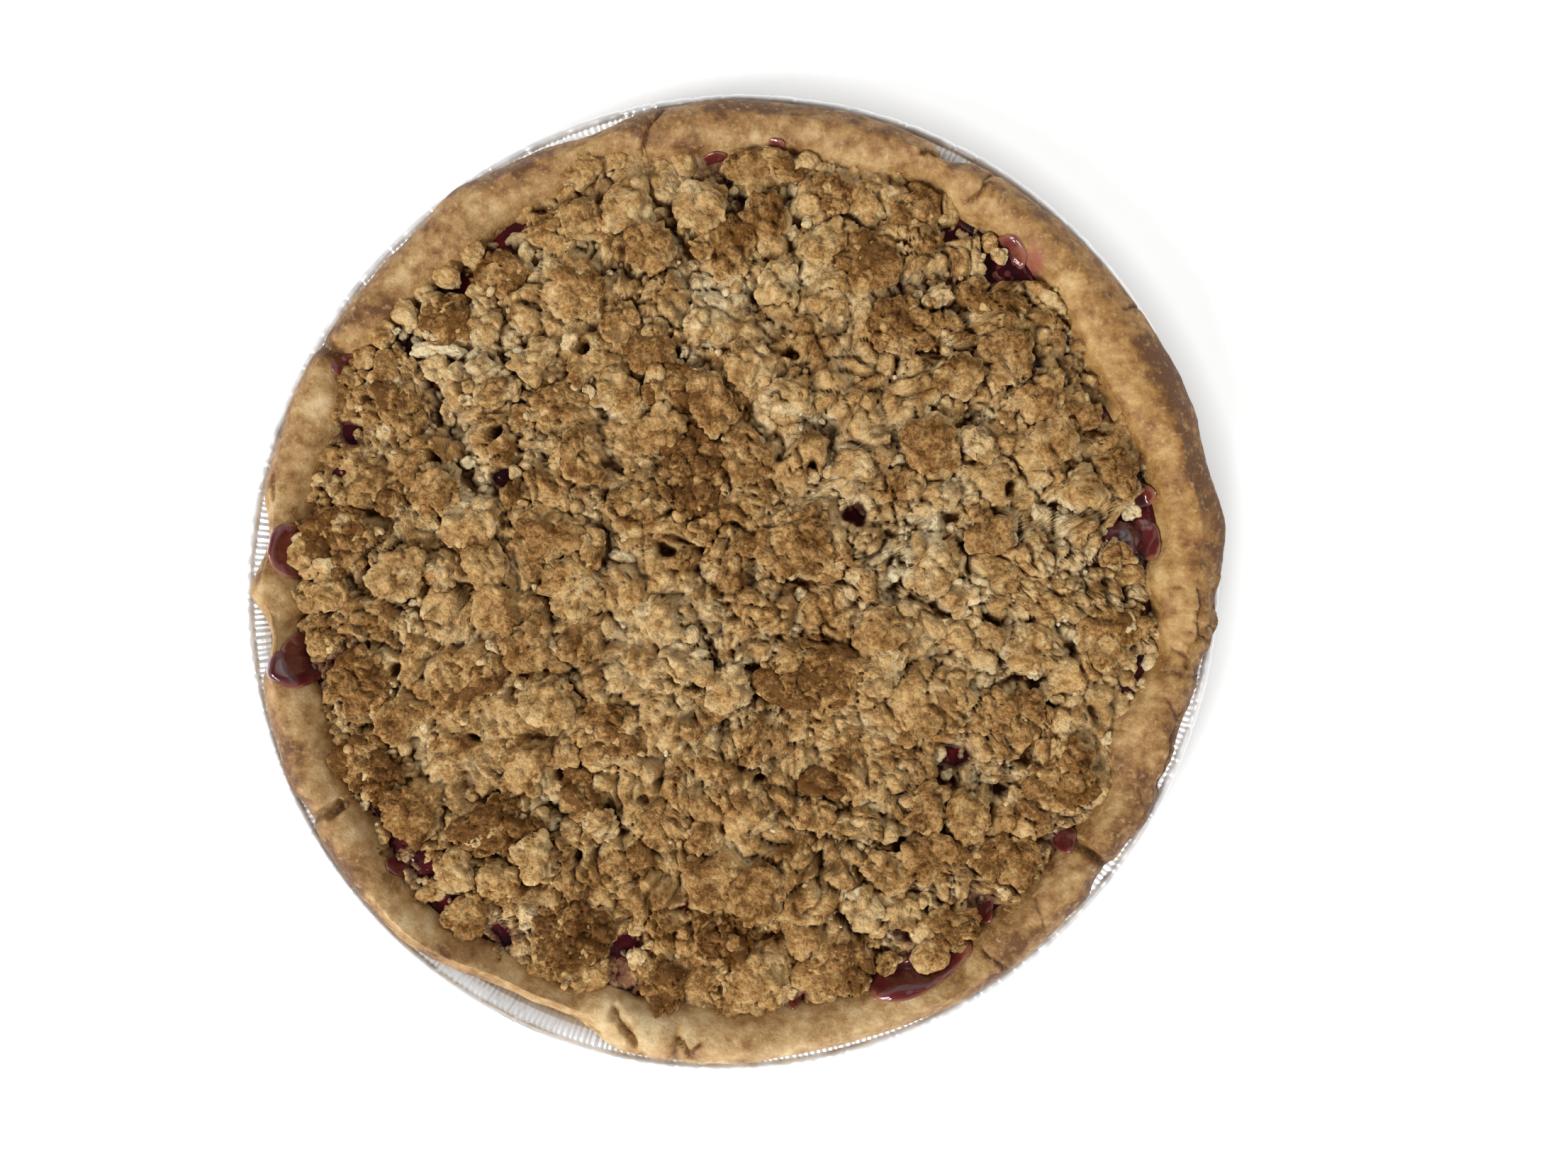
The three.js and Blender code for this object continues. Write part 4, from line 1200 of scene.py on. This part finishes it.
# More toasting where a spot stands proud, fully at that rise in mm, and by the tone of its piece
RISE_TOAST = 0.2
FULL_RISE = 3
TONE_TOAST = 0.22
# Unevenness of the toasting, as [share, size, salt]
TOAST_SWELLS = [(0.1, 15, 121), (0.13, 5, 122)]
# Regions as [x, y, reach, how much more toasted]
TOAST_REGIONS = [
    (-75, 10, 26, 0.12), (-75, -35, 24, 0.1), (-20, -85, 34, 0.12), (-10, 30, 22, 0.12), (55, 62, 26, 0.1),
    (35, 5, 28, -0.1), (80, 0, 20, -0.05), (30, -60, 28, 0.04), (-3, 64, 12, -0.42), (32, -1, 9, -0.16),
    (-54, -55, 12, -0.2), (-82, 8, 12, -0.1), (-60, 42, 14, -0.18), (-10, 26, 12, 0.2),
    (-10, -14, 15, -0.14), (0, 62, 14, 0.1), (20, -64, 20, -0.02), (18, -22, 13, 0.15), (28, 28, 6, -0.2),
    (45, 10, 6, -0.25), (-60, 22, 7, -0.25), (-66, 53, 8, -0.15), (51, -42, 6, -0.25), (76, -15, 6, -0.2),
    (-66, -8, 8, -0.15), (60, 57, 5, -0.2), (-84, -62, 8, -0.1), (-48, 62, 8, -0.15), (22, -20, 14, 0.16),
    (-57, 57, 14, 0.16), (0, -80, 20, 0.17), (57, -57, 18, 0.12), (-57, -57, 14, 0.08), (-22, 24, 12, -0.08),
    (0, 70, 18, 0.06), (57, 57, 14, -0.06),
]


def crumble_shades(points, own_toast, cracks, tone):
    """How toasted each point is, how much painted shade it gets in cracks and recesses, and how soaked it is
    """
    places = map_places(points)
    close, near, wide = (level[places[:, 0], places[:, 1]] for level in (close_map, near_map, wide_map))
    toast = own_toast + RISE_TOAST * np.clip((points[:, 2] - wide) / FULL_RISE, -1, 1) + TONE_TOAST * tone
    toast += swells(points, TOAST_SWELLS)
    for x, y, reach, more in TOAST_REGIONS:
        toast += more * np.exp(-(((points[:, 0] - x) ** 2 + (points[:, 1] - y) ** 2) / reach**2))
    # Painted shade where a spot lies below its near surroundings or in a crack
    recess_shade = 0.95 * eased(near - points[:, 2], 0.4, 2.2)
    recess_shade = np.maximum(recess_shade, 0.5 * eased(close - points[:, 2], 0.2, 1.0))
    low = eased(FILLING_Z + HOLE_BOTTOM + 0.7 * swell(points, 2, 123) - points[:, 2], 0, 1.6)
    degrees, radius = polar(points)
    in_bay = changed(degrees, 0, [(at, 1.5 * half, 1) for at, half, *_ in BAYS]) * (radius > BAY_INNER_RADIUS)
    low *= np.clip(np.maximum(in_bay, 1 - holes_share(points * (1, 1, 0), 0, 2.4)), 0.1, 1)
    return np.clip(toast, 0.02, 1), np.maximum(recess_shade, 0.7 * cracks), 0.8 * low


below = np.zeros(len(bed_shell) - len(bed_points))
bed_shares = [np.full(len(bed_shell), BED_TOAST), np.append(bed_cracks, below), np.append(bed_tone, below)]
for name, points, faces, own in (
    ("crumble_bed", bed_shell, bed_all_faces, bed_shares),
    ("big_clumps", big_points, big_faces, big_shares),
    ("small_lumps", small_points, small_faces, small_shares),
    ("loose_crumbs", crumb_points, crumb_faces, crumb_shares),
):
    # Tops that stand too high are pressed down softly
    over = np.maximum(points[:, 2] - TOP_LIMIT, 0)
    points[:, 2] -= over - TOP_GIVE * (1 - np.exp(-over / TOP_GIVE))
    layer = lay_mesh(name, points, faces, baked_crumble)
    for kind, shares in zip(("toast", "painted_crack_shade", "soaked"), crumble_shades(points, *own)):
        paint(layer, kind, shares)
    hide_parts("crumble_topping")
    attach(layer, "root")

# ---- Table, light and camera ---------------------------------------------------------------------------
# A plain pale table top that glows white beyond the tin, painted light that washes out the pie's shadow
# there, under a soft lamp and a smaller one at the lower left and a wide weak one opposite. The pie is seen
# from straight above.
TABLE_HALF = 8
CAMERA_PLACE = (11.9, -1.1, 339.7)
FOCAL_PIXELS = 1900
IMAGE_WIDTH = 2212
SENSOR_WIDTH = 36


def table_finish():
    finish, tree, shader = new_finish("pale_table")
    color = color_steps(tree, noise(tree, 6, 3), [(0.3, (236, 236, 236)), (0.7, (240, 240, 240))])
    flat = add_node(tree, "VectorMath", {0: on_piece(tree), 1: (1, 1, 0)}, operation="MULTIPLY").outputs[0]
    away = add_node(tree, "VectorMath", {0: flat}, operation="LENGTH").outputs[1]
    plug(shader, {
        "Base Color": color,
        "Emission Color": color,
        # Beyond the tin the table glows as painted light, which whitens the pie's shadow and leaves a grey
        # fringe by the tin
        "Emission Strength": spread(tree, away, 0.119, 0.131, 0, 0.55),
        "Roughness": 0.6,
    })
    return finish


table = lay_mesh(
    "table_top",
    np.array([(-1, -1, 0), (1, -1, 0), (1, 1, 0), (-1, 1, 0)]) * TABLE_HALF / MM,
    [(0, 1, 2, 3)],
    table_finish(),
)


def soft_lamp(name, place, size, power, color):
    lamp = bpy.data.lights.new(name, "AREA")
    lamp.shape = "DISK"
    lamp.size = size
    lamp.energy = power
    lamp.color = color
    stand = bpy.data.objects.new(name, lamp)
    bpy.context.scene.collection.objects.link(stand)
    stand.location = place
    stand.rotation_euler = (Vector((0, 0, 0.03)) - Vector(place)).to_track_quat("-Z", "Y").to_euler()


soft_lamp("window_left", (-1.2, -1.0, 1.6), 0.64, 30, (1.0, 0.985, 0.955))
soft_lamp("glint_left", (-0.6, -1.45, 1.35), 0.44, 14, (1.0, 1.0, 1.0))
soft_lamp("fill_right", (1.4, 1.1, 2.2), 2.0, 12, (1.0, 0.98, 0.94))

world = bpy.data.worlds.new("room")
bpy.context.scene.world = world
world.use_nodes = True
tree = world.node_tree
height = add_node(tree, "SeparateXYZ", {0: add_node(tree, "TexCoord").outputs["Generated"]}).outputs[2]
brightness = [
    (0.0, (252, 252, 252)), (0.6, (252, 252, 250)), (0.76, (160, 159, 157)), (0.92, (104, 101, 98)),
    (1.0, (72, 66, 62)),
]
plug(tree.nodes["Background"], {"Color": color_steps(tree, height, brightness), "Strength": 0.92})

camera = bpy.data.cameras.new("above")
camera.sensor_width = SENSOR_WIDTH
camera.lens = FOCAL_PIXELS / IMAGE_WIDTH * SENSOR_WIDTH
camera.clip_start = 0.01
viewer = bpy.data.objects.new("above", camera)
bpy.context.scene.collection.objects.link(viewer)
viewer.location = [value * MM for value in CAMERA_PLACE]
bpy.context.scene.camera = viewer
bpy.context.scene.view_settings.view_transform = "Standard"
